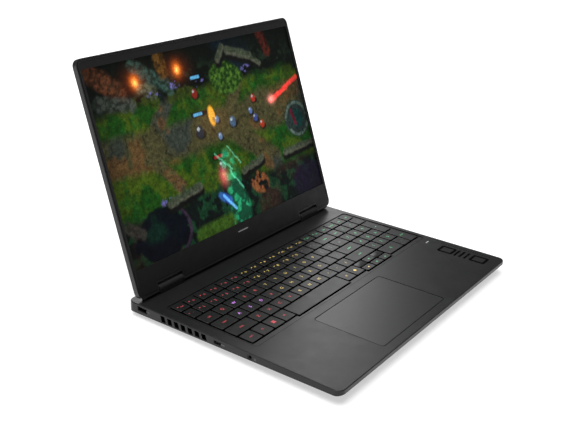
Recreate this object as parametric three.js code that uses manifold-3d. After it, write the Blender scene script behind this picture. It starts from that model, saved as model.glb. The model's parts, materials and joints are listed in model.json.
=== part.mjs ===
// A slim 16-inch-class gaming laptop, lid open, in millimetres.
// +X is the user's right, +Y points from the user to the hinges, +Z is up.
// The base is drawn with y = 0 at its front edge and z = 0 at the desk, the lid with its origin on the
// hinge axis, and one outer group moves both so that the origin is the bottom centre of the whole.
import * as THREE from 'three';
import { mergeVertices } from 'three/addons/utils/BufferGeometryUtils.js';
import Module from 'manifold-3d';

const wasm = await Module();
wasm.setup();

// ---------------------------------------------------------------- driving dimensions
const BODY_W = 357;            // base width
const BODY_D = 269.5;          // base depth
const BODY_R = 8;              // base corner radius, seen from above
const DECK_Z = 16;             // deck surface above the desk
const DECK_T = 1.6;            // thickness of the deck
const WALL = 1.4;              // side walls of the shells
const DECK_CHAMFER = 0.7;      // chamfer round the deck
const SIDE_FRONT = 5.8;        // height of the side wall at the front edge
const SIDE_REAR = 11;          // height of the side wall at the rear edge
const FRONT_LIFT = 1.3;        // the front wall is this much lower than the side walls beside it
const GAP = 0.3;               // gap kept between neighbouring pieces
const CLEAR = 1;               // how far a cutting tool reaches past the face it opens
const CORNER_STEPS = 5;        // facets in each rounded corner
const ROUND_STEPS = 24;        // facets round a pin or a bore

const UNDERSIDE_Z = 1.8;       // underside of the bottom cover above the desk
const BOTTOM_T = 1.2;          // thickness of the bottom cover
const TUCK_SIDE = 14;          // how far the underside is tucked in at the sides and the front
const TUCK_REAR = 9;           // and at the rear
const TUCK_WALL = 1;           // sideways thickness of the tucked walls
const FLOOR_Z = UNDERSIDE_Z + BOTTOM_T + 0.6;   // where the inner parts stand

const LID_TILT = THREE.MathUtils.degToRad(19.1); // lid leans back from vertical at rest
const PIVOT_Y = 256.3;         // hinge axis behind the front edge
const PIVOT_RISE = 4.8;        // hinge axis above the deck
const PIVOT_Z = DECK_Z + PIVOT_RISE;
const LID_W = 354.6;
const LID_FRONT = -4;          // bezel face, in front of the hinge axis
const LID_BACK = 2.2;          // outer face of the lid, behind the hinge axis
const LID_BOTTOM = -2;         // lid's lower edge below the hinge axis
const LID_TOP = 254.9;         // lid's upper edge above the hinge axis
const LID_EDGE_R = 4.5;        // lid's rolled lower edge, round the hinge axis
const LID_R = 8;               // lid corner radius
const LID_SHELL = 1.2;         // wall of the lid cover
const RIM_SETBACK = 0.3;       // lid cover's rim behind the bezel face
const BEZEL_T = 1.2;
const SCREEN_W = 344.6;        // 16-inch 16:10 picture area
const SCREEN_H = 215.4;
const SCREEN_BOTTOM = 28.2;    // picture's lower edge above the hinge axis

const HINGE_X0 = 110.2;        // inner end of each hinge barrel from the centre line
const HINGE_X1 = 147.3;        // outer end
const BARREL_R = 4.6;
const BARREL_BORE_R = 3.7;
const PIN_R = 2;
const NOTCH_TOP = 7.3;         // top of the lid's hinge notches above the axis
const NOTCH_GAP = 0.8;         // notch beyond each end of the barrel
const LIP_GAP = 0.35;          // between a barrel and the lid's lip behind it
const LIP_R = 6.1;             // round the hinge axis
const LIP_FOOT = 3.5;          // lower edge of the lip above the axis

const KEY_U = 18.2;            // pitch of the letter keys
const KEY_GAP = 1.8;           // gap between caps
const FIELD_X0 = -163;         // left edge of the key field
const MAIN_W = 263.3;          // width of the main block of keys
const PAD_U = 17.05;           // pitch of the number pad's keys
const MAIN_X1 = FIELD_X0 + MAIN_W;
const FIELD_X1 = MAIN_X1 + 4 * PAD_U;
const BOTTOM_ROW_Y = 112.2;    // front edge of the bottom row
const BOTTOM_ROW_D = 20;
const ROW_D = 18.75;           // pitch of the middle rows
const TOP_ROW_D = 16.2;
const SPACE_EXTRA = 3.1;       // space bar and arrows reach this much further forward
const SPACE_W = 98.9;
const CAP_H = 2.2;
const CAP_PROUD = 0.4;         // cap tops above the deck
const CAP_TAPER = 0.5;         // each side of a cap leans in by this much
const WELL_DEPTH = 0.8;        // shallow well round the keys
const WELL_MARGIN = 2.6;
const WELL_R = 4;
const FIELD_EDGE = 0.2;        // opening beyond the outermost cells
const WEB_T = 0.5;             // web that joins a bank of keys
const WEB_W = 3;
const WEB_INSET = 4;           // the web stops this far inside the bank's two ends
const TOP_ROW_KEYS = 19;
const ARROW_KEYS = 3;

const PAD_X0 = -86.8;          // touchpad
const PAD_X1 = 40.9;
const PAD_Y0 = 11;
const PAD_Y1 = 93.5;
const PAD_R = 3.5;
const PAD_T = 1.5;
const PAD_SUNK = 0.1;

const FAN_X = 133;             // fan centre from the centre line
const FAN_Y = 186;
const ROTOR_R = 24;
const FAN_Z1 = 10.3;           // top of the fan housings
const VENT_COUNT = 7;          // slanted slots in each side wall
const VENT_Y0 = 161;
const VENT_PITCH = 9.3;
const VENT_W = 6;
const VENT_LEAN = 2;
const VENT_TOP_MARGIN = 0.2;   // wall kept between the slots and the deck
const VENT_LOW_MARGIN = 1.2;   // and below the slots

// y of the line between row r - 1 and row r: row 0 is the bottom row, row 5 the function row
const rowY = (r) => (r === 0 ? BOTTOM_ROW_Y : BOTTOM_ROW_Y + BOTTOM_ROW_D + (r - 1) * ROW_D);
const FIELD_Y0 = BOTTOM_ROW_Y - SPACE_EXTRA - 1;
const FIELD_Y1 = rowY(5) + TOP_ROW_D;
// lower edge of the walls at depth y: it slopes along the sides and rises round the front corners
const frontLift = (y) => FRONT_LIFT * Math.max(0, 1 - y / BODY_R) ** 2;
const sideBottom = (y) => DECK_Z - SIDE_FRONT - (SIDE_REAR - SIDE_FRONT) * (y / BODY_D) + frontLift(y);
const OVERALL_D = PIVOT_Y + LID_BACK * Math.cos(LID_TILT) + LID_TOP * Math.sin(LID_TILT);

// ---------------------------------------------------------------- solids
function toSolid(geometry) {
  for (const name of Object.keys(geometry.attributes)) {
    if (name !== 'position') geometry.deleteAttribute(name);
  }
  const merged = mergeVertices(geometry, 1e-4);
  const mesh = new wasm.Mesh({
    numProp: 3,
    vertProperties: new Float32Array(merged.attributes.position.array),
    triVerts: new Uint32Array(merged.index.array),
  });
  return new wasm.Manifold(mesh);
}

const join = (...solids) => solids.reduce((a, b) => a.add(b));
const cut = (solid, ...tools) => tools.reduce((a, b) => a.subtract(b), solid);

// corner points of a rounded rectangle, counter-clockwise
function roundedRing(x0, y0, x1, y1, r) {
  const corners = [[x1 - r, y0 + r, -90], [x1 - r, y1 - r, 0], [x0 + r, y1 - r, 90], [x0 + r, y0 + r, 180]];
  const points = [];
  for (const [cx, cy, start] of corners) {
    for (let i = 0; i <= CORNER_STEPS; i++) {
      const a = THREE.MathUtils.degToRad(start + (90 * i) / CORNER_STEPS);
      points.push(new THREE.Vector2(cx + r * Math.cos(a), cy + r * Math.sin(a)));
    }
  }
  return points;
}

function extrude(points, depth) {
  return new THREE.ExtrudeGeometry(new THREE.Shape(points), { depth, bevelEnabled: false });
}

function plate(x0, y0, x1, y1, r, z0, z1) {
  return toSolid(extrude(roundedRing(x0, y0, x1, y1, r), z1 - z0).translate(0, 0, z0));
}

function box(x0, y0, z0, x1, y1, z1) {
  const geometry = new THREE.BoxGeometry(x1 - x0, y1 - y0, z1 - z0);
  return toSolid(geometry.translate((x0 + x1) / 2, (y0 + y1) / 2, (z0 + z1) / 2));
}

// a profile of [y, z] points drawn out from x0 to x1
function prismX(profile, x0, x1) {
  const points = profile.map(([y, z]) => new THREE.Vector2(y, z));
  const turn = new THREE.Matrix4().makeBasis(
    new THREE.Vector3(0, 1, 0), new THREE.Vector3(0, 0, 1), new THREE.Vector3(1, 0, 0));
  return toSolid(extrude(points, x1 - x0).applyMatrix4(turn).translate(x0, 0, 0));
}

function rodX(x0, x1, y, z, r) {
  const geometry = new THREE.CylinderGeometry(r, r, x1 - x0, ROUND_STEPS).rotateZ(Math.PI / 2);
  return toSolid(geometry.translate((x0 + x1) / 2, y, z));
}

function rodY(y0, y1, x, z, r) {
  return toSolid(new THREE.CylinderGeometry(r, r, y1 - y0, ROUND_STEPS).translate(x, (y0 + y1) / 2, z));
}

function rodZ(z0, z1, x, y, r) {
  const geometry = new THREE.CylinderGeometry(r, r, z1 - z0, ROUND_STEPS).rotateX(Math.PI / 2);
  return toSolid(geometry.translate(x, y, (z0 + z1) / 2));
}

// a closed solid through rings of equal length, from the lowest to the highest
function loft(rings) {
  const n = rings[0].length;
  const index = [];
  for (let k = 0; k + 1 < rings.length; k++) {
    for (let i = 0; i < n; i++) {
      const a = k * n + i;
      const b = k * n + ((i + 1) % n);
      index.push(a, b, b + n, a, b + n, a + n);
    }
  }
  const top = (rings.length - 1) * n;
  for (let i = 1; i + 1 < n; i++) {
    index.push(0, i + 1, i, top, top + i, top + i + 1);
  }
  const geometry = new THREE.BufferGeometry().setFromPoints(rings.flat());
  geometry.setIndex(index);
  return toSolid(geometry);
}

// the base's outline moved in by the given amounts, at a height that may depend on y
function bodyRing(inset, rearInset, height) {
  const ring = roundedRing(inset - BODY_W / 2, inset, BODY_W / 2 - inset, BODY_D - rearInset,
    BODY_R - Math.min(inset, BODY_R / 2));
  return ring.map((p) => new THREE.Vector3(p.x, p.y, height(p.y)));
}

// ---------------------------------------------------------------- looks and the scene graph
const FINISH = {
  graphite: { color: 0x3c3c3e, roughness: 0.5, metalness: 0.3 },
  black: { color: 0x1b1b1c, roughness: 0.6, metalness: 0 },
  cap: { color: 0x2b2b2d, roughness: 0.6, metalness: 0 },
  glass: { color: 0x0b1a12, roughness: 0.15, metalness: 0 },
  steel: { color: 0x9a9c9f, roughness: 0.35, metalness: 1 },
  aluminium: { color: 0xb9bbbe, roughness: 0.4, metalness: 1 },
  copper: { color: 0xb36a3c, roughness: 0.3, metalness: 1 },
  board: { color: 0x12402a, roughness: 0.5, metalness: 0.1 },
  battery: { color: 0x242426, roughness: 0.7, metalness: 0 },
  rubber: { color: 0x151515, roughness: 0.9, metalness: 0 },
};

const laptop = new THREE.Group();
const base = new THREE.Group();
base.position.y = -OVERALL_D / 2;
const lid = new THREE.Group();
lid.position.set(0, PIVOT_Y, PIVOT_Z);
lid.rotation.x = -LID_TILT;
base.add(lid);
laptop.add(base);

function addPiece(group, name, solid, finish) {
  const { vertProperties, triVerts } = solid.getMesh();
  const geometry = new THREE.BufferGeometry();
  geometry.setAttribute('position', new THREE.BufferAttribute(vertProperties, 3));
  geometry.setIndex(new THREE.BufferAttribute(triVerts, 1));
  geometry.computeVertexNormals();
  const mesh = new THREE.Mesh(geometry, new THREE.MeshStandardMaterial(FINISH[finish]));
  mesh.name = name;
  group.add(mesh);
}

const SIDES = [['left', -1], ['right', 1]];
// a box given for the right-hand side, put on either side of the centre line
function sideBox(side, x0, y0, z0, x1, y1, z1) {
  return side > 0 ? box(x0, y0, z0, x1, y1, z1) : box(-x1, y0, z0, -x0, y1, z1);
}
const sideRodX = (side, x0, x1, y, z, r) => (side > 0 ? rodX(x0, x1, y, z, r) : rodX(-x1, -x0, y, z, r));

// ---------------------------------------------------------------- ports
// each socket: which wall it is in, its place along that wall, its opening and how deep it goes
const SOCKET_Z = 11.3;
const SHELL_T = 0.3;
const SOCKETS = {
  usb_a_port_left: { wall: -1, at: 247.8, wide: 12.5, high: 4.6, deep: 13 },
  usb_c_port: { wall: -1, at: 144.3, wide: 8.4, high: 2.6, deep: 8 },
  usb_a_port_right: { wall: 1, at: 247.8, wide: 12.5, high: 4.6, deep: 13 },
  hdmi_port: { wall: 1, at: 138, wide: 14, high: 4.6, deep: 7.6 },
};
const JACK_Y = 103.5;
const JACK_R = 2.5;
const JACK_BORE_R = 1.75;
const INLET_X = -40;
const INLET_Z = 10;
const INLET_R = 3.9;
const INLET_BORE_R = 3.2;
const INLET_DEPTH = 11;
const JACK_DEPTH = 11;
const PORT_SETBACK = 0.4;      // ports stand this far inside the wall's face
const PORT_END = 1;            // closed inner end of each port

function socketBox(socket, grow, deepStart, deepEnd) {
  const halfWide = socket.wide / 2 + grow;
  const halfHigh = socket.high / 2 + grow;
  return sideBox(socket.wall, BODY_W / 2 - deepEnd, socket.at - halfWide, SOCKET_Z - halfHigh,
    BODY_W / 2 - deepStart, socket.at + halfWide, SOCKET_Z + halfHigh);
}

function makePorts() {
  for (const [name, socket] of Object.entries(SOCKETS)) {
    const shell = socketBox(socket, SHELL_T, PORT_SETBACK, socket.deep);
    const hollow = socketBox(socket, 0, -CLEAR, socket.deep - PORT_END);
    addPiece(base, name, cut(shell, hollow), 'steel');
  }
  const wall = -BODY_W / 2;
  const jack = rodX(wall + PORT_SETBACK, wall + JACK_DEPTH, JACK_Y, SOCKET_Z, JACK_R);
  const jackBore = rodX(wall - CLEAR, wall + JACK_DEPTH - PORT_END, JACK_Y, SOCKET_Z, JACK_BORE_R);
  addPiece(base, 'audio_jack', cut(jack, jackBore), 'black');
  const rear = BODY_D - PORT_SETBACK;
  const inlet = rodY(rear - INLET_DEPTH, rear, INLET_X, INLET_Z, INLET_R);
  const bore = rodY(rear - INLET_DEPTH + PORT_END, rear + CLEAR, INLET_X, INLET_Z, INLET_BORE_R);
  addPiece(base, 'power_inlet', cut(inlet, bore), 'black');
}

// ---------------------------------------------------------------- shells of the base
const GRILLE_X0 = -20;         // rear grille, right of the power inlet
const GRILLE_X1 = 104;
const GRILLE_Z0 = 7.2;
const GRILLE_Z1 = 13.4;
const PEDESTAL_HALF_D = 4.6;

function sideVents() {
  const top = DECK_Z - DECK_T - VENT_TOP_MARGIN;
  const slots = [];
  for (let i = 0; i < VENT_COUNT; i++) {
    const y = VENT_Y0 + i * VENT_PITCH - VENT_W / 2;
    const low = sideBottom(y + VENT_W) + VENT_LOW_MARGIN;
    const profile = [[y, low], [y + VENT_W, low], [y + VENT_W + VENT_LEAN, top], [y + VENT_LEAN, top]];
    slots.push(prismX(profile, -BODY_W / 2 - CLEAR, -BODY_W / 2 + WALL + CLEAR));
    slots.push(prismX(profile, BODY_W / 2 - WALL - CLEAR, BODY_W / 2 + CLEAR));
  }
  return slots;
}

// the opening that the caps stand in: the key field, with the space bar's and the arrows' extra depth
function keyOpening() {
  const g = FIELD_EDGE;
  const z0 = DECK_Z - DECK_T - CLEAR;
  const z1 = DECK_Z + CLEAR;
  const spaceX0 = FIELD_X0 + 4 * KEY_U;
  const arrowX0 = spaceX0 + SPACE_W + 2 * KEY_U;
  const frontY = BOTTOM_ROW_Y - SPACE_EXTRA - g;
  return join(
    box(FIELD_X0 - g, BOTTOM_ROW_Y - g, z0, FIELD_X1 + g, FIELD_Y1 + g, z1),
    box(spaceX0 - g, frontY, z0, spaceX0 + SPACE_W + g, BOTTOM_ROW_Y, z1),
    box(arrowX0 - g, frontY, z0, MAIN_X1 + g, BOTTOM_ROW_Y, z1));
}

function makeTopCover() {
  const chamferRing = bodyRing(DECK_CHAMFER, DECK_CHAMFER, () => DECK_Z);
  const outside = loft([
    bodyRing(0, 0, sideBottom), bodyRing(0, 0, () => DECK_Z - DECK_CHAMFER), chamferRing]);
  const half = BODY_W / 2 - WALL;
  const inside = plate(-half, WALL, half, BODY_D - WALL, BODY_R - WALL, -CLEAR,
    DECK_Z - DECK_T);
  const underDeck = DECK_Z - DECK_T - CLEAR;
  const overDeck = DECK_Z + CLEAR;
  const well = plate(FIELD_X0 - WELL_MARGIN, FIELD_Y0 - WELL_MARGIN, FIELD_X1 + WELL_MARGIN,
    FIELD_Y1 + WELL_MARGIN, WELL_R, DECK_Z - WELL_DEPTH, overDeck);
  const padOpening = plate(PAD_X0 - GAP, PAD_Y0 - GAP, PAD_X1 + GAP, PAD_Y1 + GAP, PAD_R + GAP,
    underDeck, overDeck);
  const rearInner = BODY_D - WALL - CLEAR;
  const grille = box(GRILLE_X0, rearInner, GRILLE_Z0, GRILLE_X1, BODY_D + CLEAR, GRILLE_Z1);
  const inletHole = rodY(rearInner, BODY_D + CLEAR, INLET_X, INLET_Z, INLET_R + GAP);
  const jackHole = rodX(-BODY_W / 2 - CLEAR, -BODY_W / 2 + WALL + CLEAR, JACK_Y, SOCKET_Z, JACK_R + GAP);
  const sockets = Object.values(SOCKETS).map((s) => socketBox(s, SHELL_T + GAP, -CLEAR, WALL + CLEAR));
  const pedestals = SIDES.map(([, side]) => sideBox(side, HINGE_X0 - GAP, PIVOT_Y - PEDESTAL_HALF_D - GAP,
    underDeck, HINGE_X1 + GAP, PIVOT_Y + PEDESTAL_HALF_D + GAP, overDeck));
  const cover = cut(outside, inside, well, keyOpening(), padOpening, grille, inletHole, jackHole,
    ...sockets, ...pedestals, ...sideVents());
  addPiece(base, 'top_cover', cover, 'graphite');
}

const INTAKE_SLOTS = 11;
const INTAKE_PITCH = 4.4;
const INTAKE_SLOT_W = 2;
const SPEAKER_SLOTS = 5;
const SPEAKER_SLOT_X = [130, 152];
const SPEAKER_SLOT_Y = 44;

function bottomSlots() {
  const slots = [];
  const z0 = UNDERSIDE_Z - CLEAR;
  const z1 = UNDERSIDE_Z + BOTTOM_T + CLEAR;
  for (const [, side] of SIDES) {
    for (let i = 0; i < INTAKE_SLOTS; i++) {
      const y = FAN_Y + (i - (INTAKE_SLOTS - 1) / 2) * INTAKE_PITCH;
      const reach = Math.sqrt(ROTOR_R ** 2 - (y - FAN_Y) ** 2);
      slots.push(box(side * FAN_X - reach, y - INTAKE_SLOT_W / 2, z0,
        side * FAN_X + reach, y + INTAKE_SLOT_W / 2, z1));
    }
    for (let i = 0; i < SPEAKER_SLOTS; i++) {
      const y = SPEAKER_SLOT_Y + i * INTAKE_PITCH;
      slots.push(sideBox(side, SPEAKER_SLOT_X[0], y, z0, SPEAKER_SLOT_X[1], y + INTAKE_SLOT_W, z1));
    }
  }
  return slots;
}

function makeBottomCover() {
  const outside = loft([
    bodyRing(TUCK_SIDE, TUCK_REAR, () => UNDERSIDE_Z), bodyRing(0, 0, (y) => sideBottom(y) - GAP)]);
  const inside = loft([
    bodyRing(TUCK_SIDE + TUCK_WALL, TUCK_REAR + TUCK_WALL, () => UNDERSIDE_Z + BOTTOM_T),
    bodyRing(WALL, WALL, (y) => sideBottom(y) + CLEAR)]);
  addPiece(base, 'bottom_cover', cut(outside, inside, ...bottomSlots()), 'black');
}

const GRILLE_PITCH = 4.2;
const GRILLE_BAR = 1.6;
const GRILLE_FRAME = 1.4;

function makeRearGrille() {
  const y0 = BODY_D - WALL;
  let grille = box(GRILLE_X0 + GAP, y0, GRILLE_Z0 + GAP, GRILLE_X1 - GAP, BODY_D - 0.2, GRILLE_Z1 - GAP);
  for (let x = GRILLE_X0 + 2; x + GRILLE_PITCH < GRILLE_X1; x += GRILLE_PITCH) {
    grille = cut(grille, box(x, y0 - CLEAR, GRILLE_Z0 + GRILLE_FRAME, x + GRILLE_PITCH - GRILLE_BAR,
      BODY_D + CLEAR, GRILLE_Z1 - GRILLE_FRAME));
  }
  addPiece(base, 'rear_grille', grille, 'black');
}

const FOOT_R = 3;
const FEET = {
  front_foot: { reach: 120, y0: 20, y1: 27 },
  rear_foot: { reach: 140, y0: 238, y1: 246 },
};

function makeFeet() {
  for (const [name, { reach, y0, y1 }] of Object.entries(FEET)) {
    addPiece(base, name, plate(-reach, y0, reach, y1, FOOT_R, 0, UNDERSIDE_Z - GAP), 'rubber');
  }
}

// ---------------------------------------------------------------- keys
const CAP_TOP = DECK_Z + CAP_PROUD;
const CAP_LOW = CAP_TOP - CAP_H;

// a cap that fills its cell of the field, less half the gap on each side
function keyCap([x0, y0, x1, y1]) {
  const w = x1 - x0 - KEY_GAP;
  const d = y1 - y0 - KEY_GAP;
  const geometry = new THREE.BoxGeometry(w, d, CAP_H);
  const position = geometry.attributes.position;
  for (let i = 0; i < position.count; i++) {
    if (position.getZ(i) > 0) {
      position.setX(i, position.getX(i) * (1 - (2 * CAP_TAPER) / w));
      position.setY(i, position.getY(i) * (1 - (2 * CAP_TAPER) / d));
    }
  }
  return toSolid(geometry.translate((x0 + x1) / 2, (y0 + y1) / 2, CAP_TOP - CAP_H / 2));
}

// caps of one row side by side, from x, each as wide as its entry
function rowCells(r, x, widths) {
  const y1 = r === 5 ? FIELD_Y1 : rowY(r + 1);
  return widths.map((w) => {
    x += w;
    return [x - w, rowY(r), x, y1];
  });
}

// joins neighbouring caps of one row with a low web
function bank(cells) {
  const low = cells[0];
  const y0 = (low[1] + low[3] - WEB_W) / 2;
  const x1 = cells[cells.length - 1][2] - WEB_INSET;
  return join(box(low[0] + WEB_INSET, y0, CAP_LOW, x1, y0 + WEB_W, CAP_LOW + WEB_T), ...cells.map(keyCap));
}

const units = (count, u = KEY_U) => Array(count).fill(u);

function makeKeyBanks() {
  const topPitch = (FIELD_X1 - FIELD_X0) / TOP_ROW_KEYS;
  const topRow = rowCells(5, FIELD_X0, units(TOP_ROW_KEYS, topPitch));
  addPiece(base, 'function_row_keys', bank(topRow), 'cap');
  const rows = [
    { name: 'number_row_keys', row: 4, first: 14.3, letters: 12, last: 0, end: 'backspace_key' },
    { name: 'upper_row_keys', row: 3, first: 23.3, letters: 12, last: 21.6 },
    { name: 'home_row_keys', row: 2, first: 27.9, letters: 11, last: 0, end: 'enter_key' },
    { name: 'lower_row_keys', row: 1, start: 'left_shift_key', first: 36.2, letters: 10, last: 0,
      end: 'right_shift_key' },
  ];
  for (const { name, row, start, first, letters, last, end } of rows) {
    const cells = rowCells(row, FIELD_X0, [first, ...units(letters), last].filter((w) => w > 0));
    if (start) addPiece(base, start, keyCap(cells.shift()), 'cap');
    addPiece(base, name, bank(cells), 'cap');
    const x = cells[cells.length - 1][2];
    if (end) addPiece(base, end, keyCap([x, rowY(row), MAIN_X1, rowY(row + 1)]), 'cap');
  }
}

function makeBottomRow() {
  const spaceX0 = FIELD_X0 + 4 * KEY_U;
  const spaceX1 = spaceX0 + SPACE_W;
  const arrowX0 = spaceX1 + 2 * KEY_U;
  const front = BOTTOM_ROW_Y - SPACE_EXTRA;
  addPiece(base, 'modifier_keys_left', bank(rowCells(0, FIELD_X0, units(4))), 'cap');
  addPiece(base, 'space_key', keyCap([spaceX0, front, spaceX1, rowY(1)]), 'cap');
  addPiece(base, 'modifier_keys_right', bank(rowCells(0, spaceX1, units(2))), 'cap');
  const arrowW = (MAIN_X1 - arrowX0) / ARROW_KEYS;
  const middle = (front + rowY(1)) / 2;
  const arrowCell = (i, y0, y1) => [arrowX0 + i * arrowW, y0, arrowX0 + (i + 1) * arrowW, y1];
  addPiece(base, 'arrow_left_key', keyCap(arrowCell(0, front, middle)), 'cap');
  addPiece(base, 'arrow_down_key', keyCap(arrowCell(1, front, middle)), 'cap');
  addPiece(base, 'arrow_right_key', keyCap(arrowCell(2, front, middle)), 'cap');
  addPiece(base, 'arrow_up_key', keyCap(arrowCell(1, middle, rowY(1))), 'cap');
  return [0, 2].map((i) => arrowCell(i, middle, rowY(1)));
}

function makeNumberPad() {
  const col = (i) => MAIN_X1 + i * PAD_U;
  const rows = [1, 2, 3, 4].map((r) => rowCells(r, MAIN_X1, units(r === 4 ? 4 : 3, PAD_U)));
  const lowest = [
    [col(0), rowY(0), col(2), rowY(1)], [col(2), rowY(0), col(3), rowY(1)]];
  const tall = [[col(3), rowY(0), col(4), rowY(2)], [col(3), rowY(2), col(4), rowY(4)]];
  const spineX = (col(1) + col(2) - WEB_W) / 2;
  const spine = box(spineX, rowY(0) + WEB_INSET, CAP_LOW, spineX + WEB_W, rowY(5) - WEB_INSET,
    CAP_LOW + WEB_T);
  const cross = [rowY(1) - ROW_D / 2, rowY(2) + ROW_D / 2].map((y) => box(col(0) + WEB_INSET,
    y, CAP_LOW, col(4) - WEB_INSET, y + WEB_W, CAP_LOW + WEB_T));
  const pad = join(spine, ...cross, ...rows.map(bank), ...lowest.map(keyCap), ...tall.map(keyCap));
  addPiece(base, 'numpad_keys', pad, 'cap');
}

// ---------------------------------------------------------------- under the keys
const MEMBRANE_Z = [11.9, 12.4];
const PLATE_Z = [11, 11.6];
const BACK_MARGIN = 2;         // plate and membrane reach this far past the keys
const BACK_R = 3;

// the plate carries two fixed pads beside the up arrow, which pass through the membrane
function makeKeyboardBack(padCells) {
  const outline = [FIELD_X0 - BACK_MARGIN, BOTTOM_ROW_Y - SPACE_EXTRA - BACK_MARGIN,
    FIELD_X1 + BACK_MARGIN, FIELD_Y1 + BACK_MARGIN, BACK_R];
  const half = KEY_GAP / 2;
  const pads = padCells.map(([a, b, c, d]) => box(a + half, b + half, PLATE_Z[0], c - half, d - half,
    DECK_Z - WELL_DEPTH));
  const holes = padCells.map(([a, b, c, d]) => box(a, b, MEMBRANE_Z[0] - CLEAR, c, d,
    MEMBRANE_Z[1] + CLEAR));
  addPiece(base, 'keyboard_plate', join(plate(...outline, ...PLATE_Z), ...pads), 'black');
  addPiece(base, 'keyboard_membrane', cut(plate(...outline, ...MEMBRANE_Z), ...holes), 'rubber');
}

const BRACKET_Z = [12.4, 13.2]; // the touchpad stands on this frame when pressed
const BRACKET_MARGIN = 4;
const BRACKET_RAIL = 16;
const BRACKET_R = 3;

function makeTouchpad() {
  const top = DECK_Z - PAD_SUNK;
  addPiece(base, 'touchpad', plate(PAD_X0, PAD_Y0, PAD_X1, PAD_Y1, PAD_R, top - PAD_T, top), 'graphite');
  const frame = (margin, z0, z1) => plate(PAD_X0 - margin, PAD_Y0 - margin, PAD_X1 + margin,
    PAD_Y1 + margin, BRACKET_R, z0, z1);
  const window = frame(BRACKET_MARGIN - BRACKET_RAIL, BRACKET_Z[0] - CLEAR, BRACKET_Z[1] + CLEAR);
  addPiece(base, 'touchpad_bracket', cut(frame(BRACKET_MARGIN, ...BRACKET_Z), window), 'steel');
}

// ---------------------------------------------------------------- inside the base
const BOARD_Z = [6.6, 7.8];
const ON_BOARD = BOARD_Z[1] + GAP;
const BOARD = { x0: -100, y0: 97, x1: 100, y1: 206, r: 3 };
const BOARD_TAIL = { x0: -70, y0: 205, x1: 90, y1: 226 };
const BATTERY = { x0: -118, y0: 32, x1: 118, y1: 92, r: 3, top: 9.6 };
const SPEAKER = { x0: 124, y0: 34, x1: 158, y1: 88, top: 9.4 };
// cards that lie on the mainboard: left front corner, width, depth and thickness
const CARDS = {
  ssd: [-98, 100, 80, 22, 2.2],
  memory_module_1: [5, 99, 69.6, 30, 1.4],
  memory_module_2: [5, 132, 69.6, 30, 1.4],
  wifi_card: [-60, 128, 22, 30, 1.6],
};

function makeElectronics() {
  const board = join(
    plate(BOARD.x0, BOARD.y0, BOARD.x1, BOARD.y1, BOARD.r, ...BOARD_Z),
    box(BOARD_TAIL.x0, BOARD_TAIL.y0, BOARD_Z[0], BOARD_TAIL.x1, BOARD_TAIL.y1, BOARD_Z[1]));
  addPiece(base, 'mainboard', board, 'board');
  const battery = plate(BATTERY.x0, BATTERY.y0, BATTERY.x1, BATTERY.y1, BATTERY.r, FLOOR_Z, BATTERY.top);
  addPiece(base, 'battery', battery, 'battery');
  for (const [name, [x, y, w, d, t]] of Object.entries(CARDS)) {
    addPiece(base, name, box(x, y, ON_BOARD, x + w, y + d, ON_BOARD + t), 'board');
  }
}

const FIN_Y0 = 232;
const FIN_Y1 = 244;
const FIN_TOP = 8;
const FIN_COUNT = 14;
const FIN_T = 1.6;             // metal between two air gaps
const FIN_CAP = 0.8;           // roof over the fins
const FAN_HALF_W = 27;
const PIPE_Z = [FIN_TOP + GAP, FIN_TOP + GAP + 1.4];
const COLD_PLATE = { x0: -45, y0: 168, x1: 45, y1: 204, r: 2 };
const RISER_X = [-22, 22];
const RISER_HALF_W = 4;
const RAIL_REACH = 156;
const RAIL_Y = [FIN_Y0 + 2, FIN_Y0 + 9];

function makeCooling() {
  const coldPlate = plate(COLD_PLATE.x0, COLD_PLATE.y0, COLD_PLATE.x1, COLD_PLATE.y1, COLD_PLATE.r,
    ON_BOARD, PIPE_Z[1]);
  const risers = RISER_X.map((x) => box(x - RISER_HALF_W, COLD_PLATE.y1 - CLEAR, PIPE_Z[0],
    x + RISER_HALF_W, RAIL_Y[0] + CLEAR, PIPE_Z[1]));
  const rail = box(-RAIL_REACH, RAIL_Y[0], PIPE_Z[0], RAIL_REACH, RAIL_Y[1], PIPE_Z[1]);
  addPiece(base, 'heat_pipes', join(coldPlate, ...risers, rail), 'copper');
  for (const [label, side] of SIDES) {
    const x0 = FAN_X - FAN_HALF_W;
    const x1 = FAN_X + FAN_HALF_W;
    let fins = sideBox(side, x0, FIN_Y0, FLOOR_Z, x1, FIN_Y1, FIN_TOP);
    const pitch = (x1 - x0) / FIN_COUNT;
    for (let i = 0; i < FIN_COUNT; i++) {
      const x = x0 + i * pitch + FIN_T / 2;
      fins = cut(fins, sideBox(side, x, FIN_Y0 - CLEAR, FLOOR_Z - CLEAR, x + pitch - FIN_T,
        FIN_Y1 + CLEAR, FIN_TOP - FIN_CAP));
    }
    addPiece(base, `heatsink_${label}`, fins, 'aluminium');
  }
}

const FAN_SHELL = 0.8;         // wall of the fan housings
const FAN_CORNER_R = 8;
const FAN_DUCT = 16;           // the housings reach this far back to the fins
const DUCT_WALL = 3;           // side walls of that duct
const TIP_GAP = 1.2;           // between the blade tips and the housing
const ROTOR_GAP = 0.5;         // above and below the rotor
const HUB_R = 10;
const EYE_R = 17;              // air inlet under the rotor
const BLADES = 15;
const BLADE_T = 0.7;
const BLADE_ROOT = 9;          // blades start inside the hub
const HUB_Z = [FLOOR_Z + FAN_SHELL + ROTOR_GAP, FAN_Z1 - FAN_SHELL - ROTOR_GAP];
const BLADE_H = HUB_Z[1] - HUB_Z[0] - 0.6;

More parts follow.
